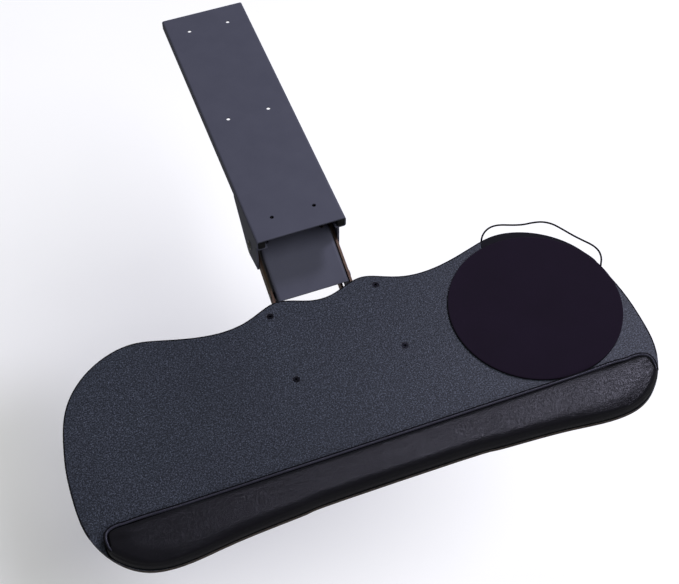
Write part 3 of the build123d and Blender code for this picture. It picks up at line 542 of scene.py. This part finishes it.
# near-black painted shade for the seam's valley, the cord behind the piping and the strip round the rest's
# foot
paintedShade = makeDullBlack("painted_shade_black", "#020203", "#050506")
cloth = makePadCloth()
hardboard = makeHardboard()
elastic = makeElastic()

finishes = [
    (powder, "track carriage_plate rear_bracket arm_housing front_bracket head_plate"),
    (bars, "side_bar_left side_bar_right level_link_left level_link_right clamp_sleeve"),
    (oxide, "front_link_pin front_link_collars arm_spacers board_screws clamp_bolt"),
    (zinc, "swivel_hub swivel_bolt swivel_nut pivot_rings bumper_rivets board_nuts knob_washer clip_screws"),
    (zinc, "rest_screws"),
    (turnedZinc, "rear_pivot_pin rear_link_pin tie_rod rear_sleeve rear_link_collars"),
    (nylon, "glide_shoe_front_left glide_shoe_front_right glide_shoe_rear_left glide_shoe_rear_right"),
    (nylon, "swivel_washer"),
    (plastic, "tilt_knob cord_clips friction_washers"),
    (bumperRubber, "front_bumpers rear_bumpers"),
    (board, "board"),
    (hardboard, "rest_base"),
    (hide, "palm_rest"),
    (cloth, "mouse_pad"),
    (elastic, "cord_loop"),
    (springSteel, "lift_spring_left lift_spring_right"),
]
finishOf = {name: material for material, names in finishes for name in names.split()}
for name, node in nodes.items():
    for materialSlot in node.material_slots:
        materialSlot.material = finishOf[name]
cordCurve.materials.append(elastic)
print("materials on", len(finishOf), "nodes")


def addPiece(name, vertices, faces, materials, smooth=True):
    mesh = bpy.data.meshes.new(name)
    mesh.from_pydata([tuple(v) for v in vertices], [], faces)
    mesh.validate()
    for material in materials:
        mesh.materials.append(material)
    if smooth:
        mesh.polygons.foreach_set("use_smooth", [True] * len(mesh.polygons))
    piece = bpy.data.objects.new(name, mesh)
    bpy.context.scene.collection.objects.link(piece)
    return piece


def ringFaces(rings, sides, flipped=False, closed=False):
    # quads between neighbouring rings that have the same number of points
    faces = []
    for ring in range(rings if closed else rings - 1):
        nextRing = (ring + 1) % rings
        for i in range(sides):
            j = (i + 1) % sides
            a, b = ring * sides + i, ring * sides + j
            nextA, nextB = nextRing * sides + i, nextRing * sides + j
            faces.append((a, nextA, nextB, b) if flipped else (a, b, nextB, nextA))
    return faces


def tubeAlong(points, radii, sides):
    # rings of a round tube, carried along the path without twist, closed by a cone at each end
    points = [Vector(p) for p in points]
    ways = [(b - a).normalized() for a, b in zip(points, points[1:])]
    ways = [ways[0]] + [(a + b).normalized() for a, b in zip(ways, ways[1:])] + [ways[-1]]
    side = ways[0].orthogonal().normalized()
    vertices = []
    for point, way, radius in zip(points, ways, radii):
        side = (side - way * side.dot(way)).normalized()
        across = way.cross(side)
        for i in range(sides):
            turn = 2 * math.pi * i / sides
            vertices.append(point + (side * math.cos(turn) + across * math.sin(turn)) * radius)
    faces = ringFaces(len(points), sides)
    first, last = len(vertices), len(vertices) + 1
    vertices += [points[0], points[-1]]
    end = (len(points) - 1) * sides
    for i in range(sides):
        faces.append((first, (i + 1) % sides, i))
        faces.append((last, end + i, end + (i + 1) % sides))
    return vertices, faces


# lift springs: torsion coils round the rear sleeve, outer leg on the bracket, inner leg under the cover
spring = {
    "meanRadius": 0.0105, "wire": 0.004, "turns": 7, "pitch": 0.0046, "innerX": 0.006,
    "rearLegAngle": 40, "frontLegAngle": 20, "frontLeg": 0.030, "legShares": (0.15, 0.4, 0.7, 0.98, 1.0),
    "bracketSheet": 0.0025, "legGap": 0.0003, "brokenEdge": 0.0004, "ringsPerTurn": 30, "sides": 14,
}
springY, springZ = jointPlaces["arm_lift"][1:]
springOuterX = spring["innerX"] + spring["turns"] * spring["pitch"]
firstTurn = math.radians(90 + spring["rearLegAngle"])
lastTurn = math.radians(90 + spring["frontLegAngle"] + 360 * spring["turns"])


def coilPoint(turn, side):
    r = spring["meanRadius"]
    x = springOuterX - spring["pitch"] * (turn - firstTurn) / (2 * math.pi)
    return Vector((side * x, springY + r * math.cos(turn), springZ + r * math.sin(turn)))


def coilWay(turn, side):
    r = spring["meanRadius"]
    rise = spring["pitch"] / (2 * math.pi)
    return Vector((-side * rise, -r * math.sin(turn), r * math.cos(turn))).normalized()


def springPath(side):
    # the coil with its straight outer leg before it and its straight inner leg after it
    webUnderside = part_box("rear_bracket")[1][2] - spring["bracketSheet"]
    rise = webUnderside - spring["legGap"] - spring["wire"] / 2 - springZ
    rise -= spring["meanRadius"] * math.sin(firstTurn)
    rearLeg = rise / math.sin(math.radians(spring["rearLegAngle"]))
    count = round((lastTurn - firstTurn) / (2 * math.pi) * spring["ringsPerTurn"])
    coil = [coilPoint(firstTurn + (lastTurn - firstTurn) * i / count, side) for i in range(count + 1)]
    rearWay, frontWay = coilWay(firstTurn, side), coilWay(lastTurn, side)
    start = [coil[0] - rearWay * rearLeg * share for share in reversed(spring["legShares"])]
    end = [coil[-1] + frontWay * spring["frontLeg"] * share for share in spring["legShares"]]
    return start + coil + end


for sideName, side in (("left", -1), ("right", 1)):
    path = springPath(side)
    radii = [spring["wire"] / 2] * len(path)
    radii[0] = radii[-1] = spring["wire"] / 2 - spring["brokenEdge"]
    vertices, faces = tubeAlong(path, radii, spring["sides"])
    coil = addPiece("torsion_spring_" + sideName, vertices, faces, [springSteel])
    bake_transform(coil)
    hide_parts("lift_spring_" + sideName)
print("springs wound")


# edge band: black plastic pressed on round the rear and both sides of the board
edgeBand = {
    "proud": 0.0003, "lap": 0.0015, "lift": 0.00015, "round": 0.0007, "cornerShare": 0.3,
    "frontLimit": -0.508, "shortStep": 0.0002,
}
onFace = 0.1 * mm  # points this near the height of a face lie on it


def boardOutline():
    # the rim of the board's top face, in order, the material to the left
    mesh = bmesh.new()
    mesh.from_mesh(nodes["board"].data)
    bmesh.ops.remove_doubles(mesh, verts=mesh.verts, dist=0.01 * mm)
    top = [f for f in mesh.faces if f.normal.z > 0.99 and abs(f.calc_center_median().z - boardTop) < onFace]
    inTop = set(top)
    nextTo = {}
    for face in top:
        for edge in face.edges:
            if sum(other in inTop for other in edge.link_faces) == 1:
                a, b = edge.verts
                nextTo.setdefault(a, []).append(b)
                nextTo.setdefault(b, []).append(a)
    start = min(nextTo, key=lambda v: v.co.x)
    loop, before, here = [start], None, start
    while True:
        ahead = [v for v in nextTo[here] if v is not before]
        before, here = here, ahead[0]
        if here is start:
            break
        loop.append(here)
    outline = np.array([v.co[:2] for v in loop])
    mesh.free()
    area = np.sum(outline[:, 0] * np.roll(outline[:, 1], -1) - np.roll(outline[:, 0], -1) * outline[:, 1])
    return outline if area > 0 else outline[::-1]


def buildEdgeBand():
    loop = boardOutline()
    ahead = np.roll(loop, -1, axis=0) - loop
    loop = loop[np.linalg.norm(ahead, axis=1) > edgeBand["shortStep"]]
    tangent = np.roll(loop, -1, axis=0) - np.roll(loop, 1, axis=0)
    outward = np.column_stack([tangent[:, 1], -tangent[:, 0]])
    outward /= np.linalg.norm(outward, axis=1)[:, None]
    covered = loop[:, 1] > edgeBand["frontLimit"]
    first = int(np.argmax(covered & ~np.roll(covered, 1)))
    order = [(first + i) % len(loop) for i in range(int(covered.sum()))]
    low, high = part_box("board")
    top, bottom, lift, lap = high[2], low[2], edgeBand["lift"], edgeBand["lap"]
    face = high[0] - loop[:, 0].max() + edgeBand["proud"]  # from the top face's rim to the band's outer face
    bend, corner = edgeBand["round"], edgeBand["round"] * edgeBand["cornerShare"]
    section = [  # outward from the rim, height
        (-lap, top), (-lap, top + lift), (0.0, top + lift), (face - corner, top - corner), (face, top - bend),
        (face, bottom + bend), (face - corner, bottom + corner), (0.0, bottom - lift),
        (-lap, bottom - lift), (-lap, bottom),
    ]
    vertices = [(*(loop[i] + outward[i] * out), z) for i in order for out, z in section]
    faces = ringFaces(len(order), len(section), flipped=True)
    faces.append(tuple(range(len(section))))
    faces.append(tuple(reversed(range(len(vertices) - len(section), len(vertices)))))
    return addPiece("board_edge_band", vertices, faces, [bandPlastic], smooth=False)


band = buildEdgeBand()
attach(band, "head")
print("edge band pressed on")


# palm rest: gel foam in a leatherette cover, piped along the rear and round both ends
palmRest = {
    "planHeight": 0.0055, "planBand": 0.0003, "endBand": 0.0005, "shortStep": 0.0002,
    "alongCells": 132, "acrossCells": 12, "cornerCut": 0.0040, "evenings": 3,
    "foot": 0.003, "height": 0.018, "crown": 0.0016, "shoulderTurns": (8, 22, 34, 44, 54, 64, 77),
    "shoulder": 0.0072, "frontShoulder": 0.0030, "cornerCells": (2, 14),
    "wrap": [  # inset and height: the cover lies on the base, wraps its side down to the board and bulges out
        (0.0036, 0.0), (0.0013, -0.0001), (0.0012, -0.0024), (0.0006, -0.0028), (-0.0001, -0.0025),
        (-0.0005, -0.0014), (-0.0007, 0.0004), (-0.0007, 0.0024), (-0.0005, 0.0044), (-0.0002, 0.0064),
    ],
    "heldRows": 4, "floorGap": 0.0001, "uneven": 0.0003, "unevenPerMetre": 14, "unevenFrom": 0.01,
    "shrink": 0.0009, "pressure": 4.0, "frames": 20, "cap": 0.0016,
    "quality": 6, "stiffness": 20, "bending": 1.5, "mass": 0.25,
}


def sampleLoop(loop, start, end, count):
    # points spaced evenly along a closed outline, from the vertex nearest start to the one nearest end
    first = int(np.argmin(np.linalg.norm(loop - np.array(start), axis=1)))
    last = int(np.argmin(np.linalg.norm(loop - np.array(end), axis=1)))
    run = loop[first:last + 1] if first < last else np.vstack([loop[first:], loop[:last + 1]])
    reach = np.concatenate([[0], np.cumsum(np.linalg.norm(np.diff(run, axis=0), axis=1))])
    wanted = np.linspace(0, reach[-1], count + 1)
    return np.column_stack([np.interp(wanted, reach, run[:, i]) for i in (0, 1)])


def palmRestOutline():
    # plan of the solid cushion at half its wall, in order round its middle
    corners = np.array([v.co for v in nodes["palm_rest"].data.vertices])
    wall = corners[np.abs(corners[:, 2] - boardTop - palmRest["planHeight"]) < palmRest["planBand"]][:, :2]
    low, high = wall.min(axis=0), wall.max(axis=0)
    fromMiddle = (wall - (low + high) / 2) / (high - low)
    wall = wall[np.argsort(np.arctan2(fromMiddle[:, 1], fromMiddle[:, 0]))]
    return wall[np.linalg.norm(np.diff(wall, axis=0, append=wall[:1]), axis=1) > palmRest["shortStep"]]


def evenOutline(loop):
    # the same plan with as many even steps on each side as the cover's grid has cells
    low, high = loop.min(axis=0), loop.max(axis=0)
    along, across, cut = palmRest["alongCells"], palmRest["acrossCells"], palmRest["cornerCut"]
    frontEnd = loop[loop[:, 0] > high[0] - palmRest["endBand"]][:, 1].min()
    rearRight, rearLeft = (high[0] - cut, high[1] - cut), (low[0] + cut, high[1] - cut)
    frontRight, frontLeft = (high[0] - cut, frontEnd - cut), (low[0] + cut, frontEnd - cut)
    outline = np.vstack([
        sampleLoop(loop, frontLeft, frontRight, along)[:-1],
        sampleLoop(loop, frontRight, rearRight, across)[:-1],
        sampleLoop(loop, rearRight, rearLeft, along)[:-1],
        sampleLoop(loop, rearLeft, frontLeft, across)[:-1],
    ])
    for _ in range(palmRest["evenings"]):  # smooths the facets of the plan
        outline = (np.roll(outline, 1, axis=0) + 2 * outline + np.roll(outline, -1, axis=0)) / 4
    return outline


def buildPalmRest(outline, inward, frontY, rearY):
    along, across, shrink = palmRest["alongCells"], palmRest["acrossCells"], palmRest["shrink"]
    count = len(outline)
    # the front shoulder is tighter than the others, with an easy change near both front corners
    fromCorner = np.minimum(np.arange(count), along - np.arange(count))
    start, end = palmRest["cornerCells"]
    inFront = np.clip((fromCorner - start) / (end - start), 0, 1)
    inFront = inFront * inFront * (3 - 2 * inFront)
    radius = palmRest["shoulder"] + (palmRest["frontShoulder"] - palmRest["shoulder"]) * inFront

    def crownAt(y):
        share = (y - (frontY + rearY) / 2) / ((rearY - frontY) / 2)
        return palmRest["height"] - shrink - palmRest["crown"] * share ** 2

    rings = []
    for inset, height in palmRest["wrap"]:
        level = boardTop + palmRest["foot"] + height
        rings.append(np.column_stack([outline + inward * inset, np.full(count, level)]))
    for degrees in palmRest["shoulderTurns"]:
        turn = math.radians(degrees)
        plan = outline + inward * (radius * (1 - math.cos(turn)) + shrink)[:, None]
        level = boardTop + crownAt(plan[:, 1]) - radius * (1 - math.sin(turn))
        rings.append(np.column_stack([plan, level]))
    vertices = [tuple(v) for each in rings for v in each]
    faces = ringFaces(len(rings), count)

    def fillPatch(row, heightAt, downward):
        # a smooth patch between the ring's four sides
        base = row * count
        grid = np.full((along + 1, across + 1), -1)
        grid[:, 0] = base + np.arange(along + 1)
        grid[along, :] = base + along + np.arange(across + 1)
        grid[:, across] = base + 2 * along + across - np.arange(along + 1)
        grid[0, :] = base + (2 * along + 2 * across - np.arange(across + 1)) % count

        def at(i, j):
            return np.array(vertices[grid[i, j]])[:2]

        for i in range(1, along):
            for j in range(1, across):
                u, v = i / along, j / across
                p = (1 - v) * at(i, 0) + v * at(i, across) + (1 - u) * at(0, j) + u * at(along, j)
                p -= (1 - u) * (1 - v) * at(0, 0) + u * (1 - v) * at(along, 0)
                p -= (1 - u) * v * at(0, across) + u * v * at(along, across)
                grid[i, j] = len(vertices)
                vertices.append((p[0], p[1], heightAt(p[1])))
        for i in range(along):
            for j in range(across):
                quad = [int(grid[a, b]) for a, b in ((i, j), (i + 1, j), (i + 1, j + 1), (i, j + 1))]
                faces.append(tuple(reversed(quad)) if downward else tuple(quad))

    fillPatch(len(rings) - 1, lambda y: boardTop + crownAt(y), False)
    bottomStart = len(vertices)
    fillPatch(0, lambda y: boardTop + palmRest["foot"], True)
    held = [*range(palmRest["heldRows"] * count), *range(bottomStart, len(vertices))]
    return addPiece("palm_rest_cushion", vertices, faces, [hide]), held


def inflate(piece, held, settings):
    # cloth under pressure: the cover swells over the gel, and no point moves further than the cap
    group = piece.vertex_groups.new(name="held")
    group.add(held, 1.0, "REPLACE")
    cover = piece.modifiers.new("cover", "CLOTH")
    cover.settings.quality = settings["quality"]
    cover.settings.mass = settings["mass"]
    cover.settings.tension_stiffness = settings["stiffness"]
    cover.settings.compression_stiffness = settings["stiffness"]
    cover.settings.bending_stiffness = settings["bending"]
    cover.settings.use_pressure = True
    cover.settings.uniform_pressure_force = settings["pressure"]
    cover.settings.effector_weights.gravity = 0.0
    cover.settings.vertex_group_mass = group.name
    cover.point_cache.frame_start = 1
    cover.point_cache.frame_end = settings["frames"]
    before = np.array([v.co for v in piece.data.vertices])
    for step in range(1, settings["frames"] + 1):
        bpy.context.scene.frame_set(step)
    evaluated = piece.evaluated_get(bpy.context.evaluated_depsgraph_get())
    after = np.array([v.co for v in evaluated.data.vertices])
    piece.modifiers.remove(cover)
    bpy.context.scene.frame_set(1)
    move = after - before
    reach = np.linalg.norm(move, axis=1)
    print("cushion swelled by", round(float(np.median(reach)) * 1000, 2), "mm at the middle of its range")
    return before + move * np.minimum(1, settings["cap"] / np.maximum(reach, 1e-9))[:, None]


def setPoints(piece, points):
    piece.data.vertices.foreach_set("co", points.ravel())
    piece.data.update()


solidPlan = palmRestOutline()
restOutline = evenOutline(solidPlan)
ringCount = len(restOutline)
tangent = np.roll(restOutline, -1, axis=0) - np.roll(restOutline, 1, axis=0)
restInward = np.column_stack([-tangent[:, 1], tangent[:, 0]])
restInward /= np.linalg.norm(restInward, axis=1)[:, None]
cushion, held = buildPalmRest(restOutline, restInward, solidPlan[:, 1].min(), solidPlan[:, 1].max())
free = np.ones(len(cushion.data.vertices), bool)
free[held] = False
swollen = inflate(cushion, held, palmRest)
cushionFloor = boardTop + palmRest["floorGap"]
swollen[:, 2] = np.maximum(swollen[:, 2], cushionFloor)
for index in np.flatnonzero(free):  # the gel is never quite even
    co = swollen[index]
    uneven = noise.noise(Vector(co) * palmRest["unevenPerMetre"]) * palmRest["uneven"]
    share = min(1.0, max(0.0, co[2] - cushionFloor) / palmRest["unevenFrom"])
    co[2] = max(cushionFloor, co[2] + uneven * share)
setPoints(cushion, swollen)

# the seam: a valley beside the piping at the rear and both ends, fading out at the front corners
restSeam = {
    "turn": 44, "valley": 0.0015, "shares": ((-1, 0.5), (0, 1.0), (1, 0.8), (2, 0.2)), "paintedShadeRows": (-1, 0, 1),
    "fadeCells": 5, "welt": 0.0014, "weltSunk": 0.25, "weltTip": 0.55, "tipCells": 6,
    "shadeCord": 0.0009, "shadeCordOut": 0.00189, "shadeCordUp": 0.0002,
}
normals = np.array([v.normal for v in cushion.data.vertices])
valleyRow = len(palmRest["wrap"]) + palmRest["shoulderTurns"].index(restSeam["turn"])
seamStart = palmRest["alongCells"]
seamEnd = 2 * palmRest["alongCells"] + 2 * palmRest["acrossCells"]
sewn = np.zeros(ringCount)
sewn[seamStart:seamEnd] = 1.0
for i in range(restSeam["fadeCells"]):
    sewn[seamStart + i] = sewn[seamEnd - 1 - i] = (i + 0.5) / restSeam["fadeCells"]
co = np.array([v.co for v in cushion.data.vertices])
weltRow = slice((valleyRow - 1) * ringCount + seamStart + 1, (valleyRow - 1) * ringCount + seamEnd)
weltPath, weltNormals = co[weltRow].copy(), normals[weltRow]
for row, share in restSeam["shares"]:
    index = np.arange(ringCount) + (valleyRow + row) * ringCount
    co[index] -= normals[index] * (restSeam["valley"] * share * sewn)[:, None]
setPoints(cushion, co)
cushion.data.materials.append(paintedShade)
for row in restSeam["paintedShadeRows"]:  # the valley's faces take the near-black material: painted shade along the seam
    for i in np.flatnonzero(sewn > 0.5):
        cushion.data.polygons[(valleyRow + row) * ringCount + int(i)].material_index = 1
smoothing = cushion.modifiers.new("smooth_cover", "SUBSURF")
smoothing.levels = smoothing.render_levels = 1
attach(cushion, "head")
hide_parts("palm_rest")

weltPoints, weltRadii, shadeCordPoints = [], [], []
for i, (point, outward) in enumerate(zip(weltPath, weltNormals)):
    ends = min(1.0, min(i, len(weltPath) - 1 - i) / restSeam["tipCells"])
    onBead = Vector(point) + Vector(outward) * (restSeam["welt"] * (ends - restSeam["weltSunk"]))
    weltPoints.append(onBead)
    weltRadii.append(restSeam["welt"] * (restSeam["weltTip"] + (1 - restSeam["weltTip"]) * ends))
    level = Vector(outward[:2]).normalized().to_3d()
    shadeCordPoints.append(onBead + level * restSeam["shadeCordOut"] + Vector((0, 0, restSeam["shadeCordUp"])))
welt = addPiece("palm_rest_piping", *tubeAlong(weltPoints, weltRadii, 10), [pipingHighlightHide])
shadeCordTube = tubeAlong(shadeCordPoints, [restSeam["shadeCord"]] * len(shadeCordPoints), 8)
shadeCord = addPiece("palm_rest_shade_cord", *shadeCordTube, [paintedShade])  # a black cord outside the bead: painted shade between the piping and the board
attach(shadeCord, "head")
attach(welt, "head")
print("palm rest sewn")


# a black strip on the board round the rest's foot, shaped as the cover's edge folded out: painted contact
# shade, narrow in front where the board ends
restFootShade = {
    "rear": 0.0024, "front": 0.0009, "tuck": 0.0010, "thickness": 0.0007, "edge": 0.0002,
    "rimGap": 0.0001, "floorGap": 0.00005,
}


def buildRestFootShade(outline, outward):
    rim = boardOutline()
    step = np.roll(rim, -1, axis=0) - rim
    length = np.maximum((step ** 2).sum(axis=1), 1e-12)
    tuck, edge, thick, floorGap = restFootShade["tuck"], restFootShade["edge"], restFootShade["thickness"], restFootShade["floorGap"]
    vertices = []
    for i, point in enumerate(outline):
        share = np.clip(((point - rim) * step).sum(axis=1) / length, 0, 1)
        room = np.linalg.norm(rim + step * share[:, None] - point, axis=1).min() - restFootShade["rimGap"]
        out = min(room, restFootShade["front"] if i < palmRest["alongCells"] else restFootShade["rear"])
        section = (
            (-tuck, floorGap), (-tuck, thick), (out - edge, thick), (out, thick - edge), (out, floorGap),
        )
        vertices += [(*(point + outward[i] * reach), boardTop + z) for reach, z in section]
    faces = ringFaces(len(outline), len(section), closed=True)
    return addPiece("palm_rest_foot_shade", vertices, faces, [paintedShade], smooth=False)


footShade = buildRestFootShade(restOutline, -restInward)
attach(footShade, "head")
print("hem bound")


# mouse pad: cloth face on foamed rubber, trimmed round, its rim pressed over a little
mousePad = {
    "centre": (0.2415, -0.105), "radius": 0.108, "segments": 144, "top": 0.00298, "rubberRows": 5,
    "profile": [  # radius inward from the rim, height
        (0.0016, 0.0), (0.0004, 0.0001), (0.0, 0.0006), (0.0001, 0.0014), (0.0001, 0.0020),
        (0.0002, 0.00215), (0.00045, 0.0026), (0.0010, 0.0029), (0.0018, 0.0030), (0.0034, 0.00296),
        (0.007, 0.00297), (0.016, 0.00298), (0.03, 0.00298), (0.046, 0.00298), (0.062, 0.00298),
        (0.078, 0.00298), (0.092, 0.00298), (0.102, 0.00298),
    ],
    "sag": 0.00008, "sagPerMetre": 30, "sagAbove": 0.0025,
}
padX, padY = mousePad["centre"][0], headY + mousePad["centre"][1]


def buildMousePad():
    segments, rows = mousePad["segments"], len(mousePad["profile"])
    vertices = []
    for inset, height in mousePad["profile"]:
        r = mousePad["radius"] - inset
        for i in range(segments):
            turn = 2 * math.pi * i / segments
            x, y = padX + r * math.cos(turn), padY + r * math.sin(turn)
            sag = noise.noise(Vector((x, y, 0)) * mousePad["sagPerMetre"]) * mousePad["sag"]
            sag = min(0.0, sag) if height > mousePad["sagAbove"] else 0.0
            vertices.append((x, y, boardTop + height + sag))
    faces = ringFaces(rows, segments)
    clothFaces = [i >= mousePad["rubberRows"] * segments for i in range(len(faces))]
    middle, below = len(vertices), len(vertices) + 1
    vertices += [(padX, padY, boardTop + mousePad["top"]), (padX, padY, boardTop)]
    last = (rows - 1) * segments
    for i in range(segments):
        j = (i + 1) % segments
        faces += [(last + i, last + j, middle), (j, i, below)]
        clothFaces += [True, False]
    piece = addPiece("mouse_pad_mat", vertices, faces, [padRubber, cloth])
    piece.data.polygons.foreach_set("material_index", [int(isCloth) for isCloth in clothFaces])
    return piece


mat = buildMousePad()
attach(mat, "head")
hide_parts("mouse_pad")
print("mouse pad laid")


# smooth black strip behind the pad, from one end of the cord to the other, trimmed to the board's edge
padStrip = {
    "fromAngle": 19, "toAngle": 102.5, "stations": 72, "thickness": 0.0009, "edge": 0.0003, "padGap": 0.0007,
    "rimGap": 0.0003, "narrowest": 0.0012, "slantStations": 3, "slantStart": 0.25,
    "rimReach": (0.105, 0.16), "rimTurn": (0, 2.3),
}


def buildPadStrip():
    rim = np.array([v.co for v in nodes["board"].data.vertices if abs(v.co.z - boardTop) < onFace])
    turn = np.arctan2(rim[:, 1] - padY, rim[:, 0] - padX)
    reach = np.hypot(rim[:, 0] - padX, rim[:, 1] - padY)
    nearest, farthest = padStrip["rimReach"]
    firstTurn, lastTurn = padStrip["rimTurn"]
    behind = (reach > nearest) & (reach < farthest) & (turn > firstTurn) & (turn < lastTurn)
    order = np.argsort(turn[behind])
    turns, reaches = turn[behind][order], reach[behind][order]
    inner = mousePad["radius"] + padStrip["padGap"]
    thick, edge, stations = padStrip["thickness"], padStrip["edge"], padStrip["stations"]
    fromAngle, wholeAngle = padStrip["fromAngle"], padStrip["toAngle"] - padStrip["fromAngle"]
    vertices = []
    for i in range(stations + 1):
        angle = math.radians(fromAngle + wholeAngle * i / stations)
        out = max(inner + padStrip["narrowest"], float(np.interp(angle, turns, reaches)) - padStrip["rimGap"])
        # the two ends are cut slantwise
        close = min(1.0, padStrip["slantStart"] + min(i, stations - i) / padStrip["slantStations"])
        out = inner + (out - inner) * close
        section = (
            (inner, 0.0), (inner, thick - edge), (inner + edge, thick),
            (out - edge, thick), (out, thick - edge), (out, 0.0),
        )
        for r, z in section:
            vertices.append((padX + r * math.cos(angle), padY + r * math.sin(angle), boardTop + z))
    faces = ringFaces(stations + 1, len(section), flipped=True)
    faces.append(tuple(range(len(section))))
    faces.append(tuple(reversed(range(len(vertices) - len(section), len(vertices)))))
    return addPiece("mouse_pad_strip", vertices, faces, [stripPlastic], smooth=False)


strip = buildPadStrip()
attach(strip, "head")
print("strip behind the pad laid")


# pale floor well below the tray, one soft lamp from the right and a wide pale sun
studio = {
    "floorSize": 8.0, "floorLevel": -0.62, "floorTints": [(0.3, "#f4f4f3"), (0.7, "#f7f7f6")], "cloud": 500,
    "lampPlace": (1.42, 0.5, 1.84), "lampTarget": (0.25, -0.45, -0.05), "lampSize": 0.5, "lampPower": 29,
    "lampColour": "#e0def9", "sunWay": (-0.38, 0.5, -1.0), "sunPower": 2.85, "sunSpread": 40,
    "roomColour": "#eceef2", "roomPower": 0.17,
}


def makeFloor():
    material, shader, place = newMaterial("pale_studio_floor")
    size = perMetre(studio["cloud"])
    cloud = addNode(material, "TexNoise", {"Vector": place, "Scale": size, "Detail": 3.0})
    tint = addNode(material, "ValToRGB", [cloud], stops=studio["floorTints"])
    fillInputs(shader, {"Roughness": 0.75, "Base Color": tint})
    return material


half = studio["floorSize"]
floorCorners = [(x * half, y * half, studio["floorLevel"]) for x, y in ((-1, -1), (1, -1), (1, 1), (-1, 1))]
floor = addPiece("studio_floor", floorCorners, [(0, 1, 2, 3)], [makeFloor()], smooth=False)
floor.visible_glossy = False  # keeps the pale floor out of the dark front of the rest

lampData = bpy.data.lights.new("window_lamp", "AREA")
lampData.shape = "DISK"
lampData.size = studio["lampSize"]
lampData.energy = studio["lampPower"]
lampData.color = linearColour(studio["lampColour"])[:3]
lampWay = Vector(studio["lampTarget"]) - Vector(studio["lampPlace"])
addTurned("window_lamp", lampData, studio["lampPlace"], lampWay)
sunData = bpy.data.lights.new("soft_daylight", "SUN")
sunData.energy = studio["sunPower"]
sunData.angle = math.radians(studio["sunSpread"])
sun = addTurned("soft_daylight", sunData, (0, 0, 0), studio["sunWay"])
sun.visible_glossy = False  # the lamp alone gives the shine
world = bpy.data.worlds.new("soft_room")
world.use_nodes = True
background = world.node_tree.nodes["Background"]
fillInputs(background, {"Color": linearColour(studio["roomColour"]), "Strength": studio["roomPower"]})
bpy.context.scene.world = world
bpy.context.scene.view_settings.view_transform = "Standard"
print("floor and lamps set")

bpy.context.view_layer.update()
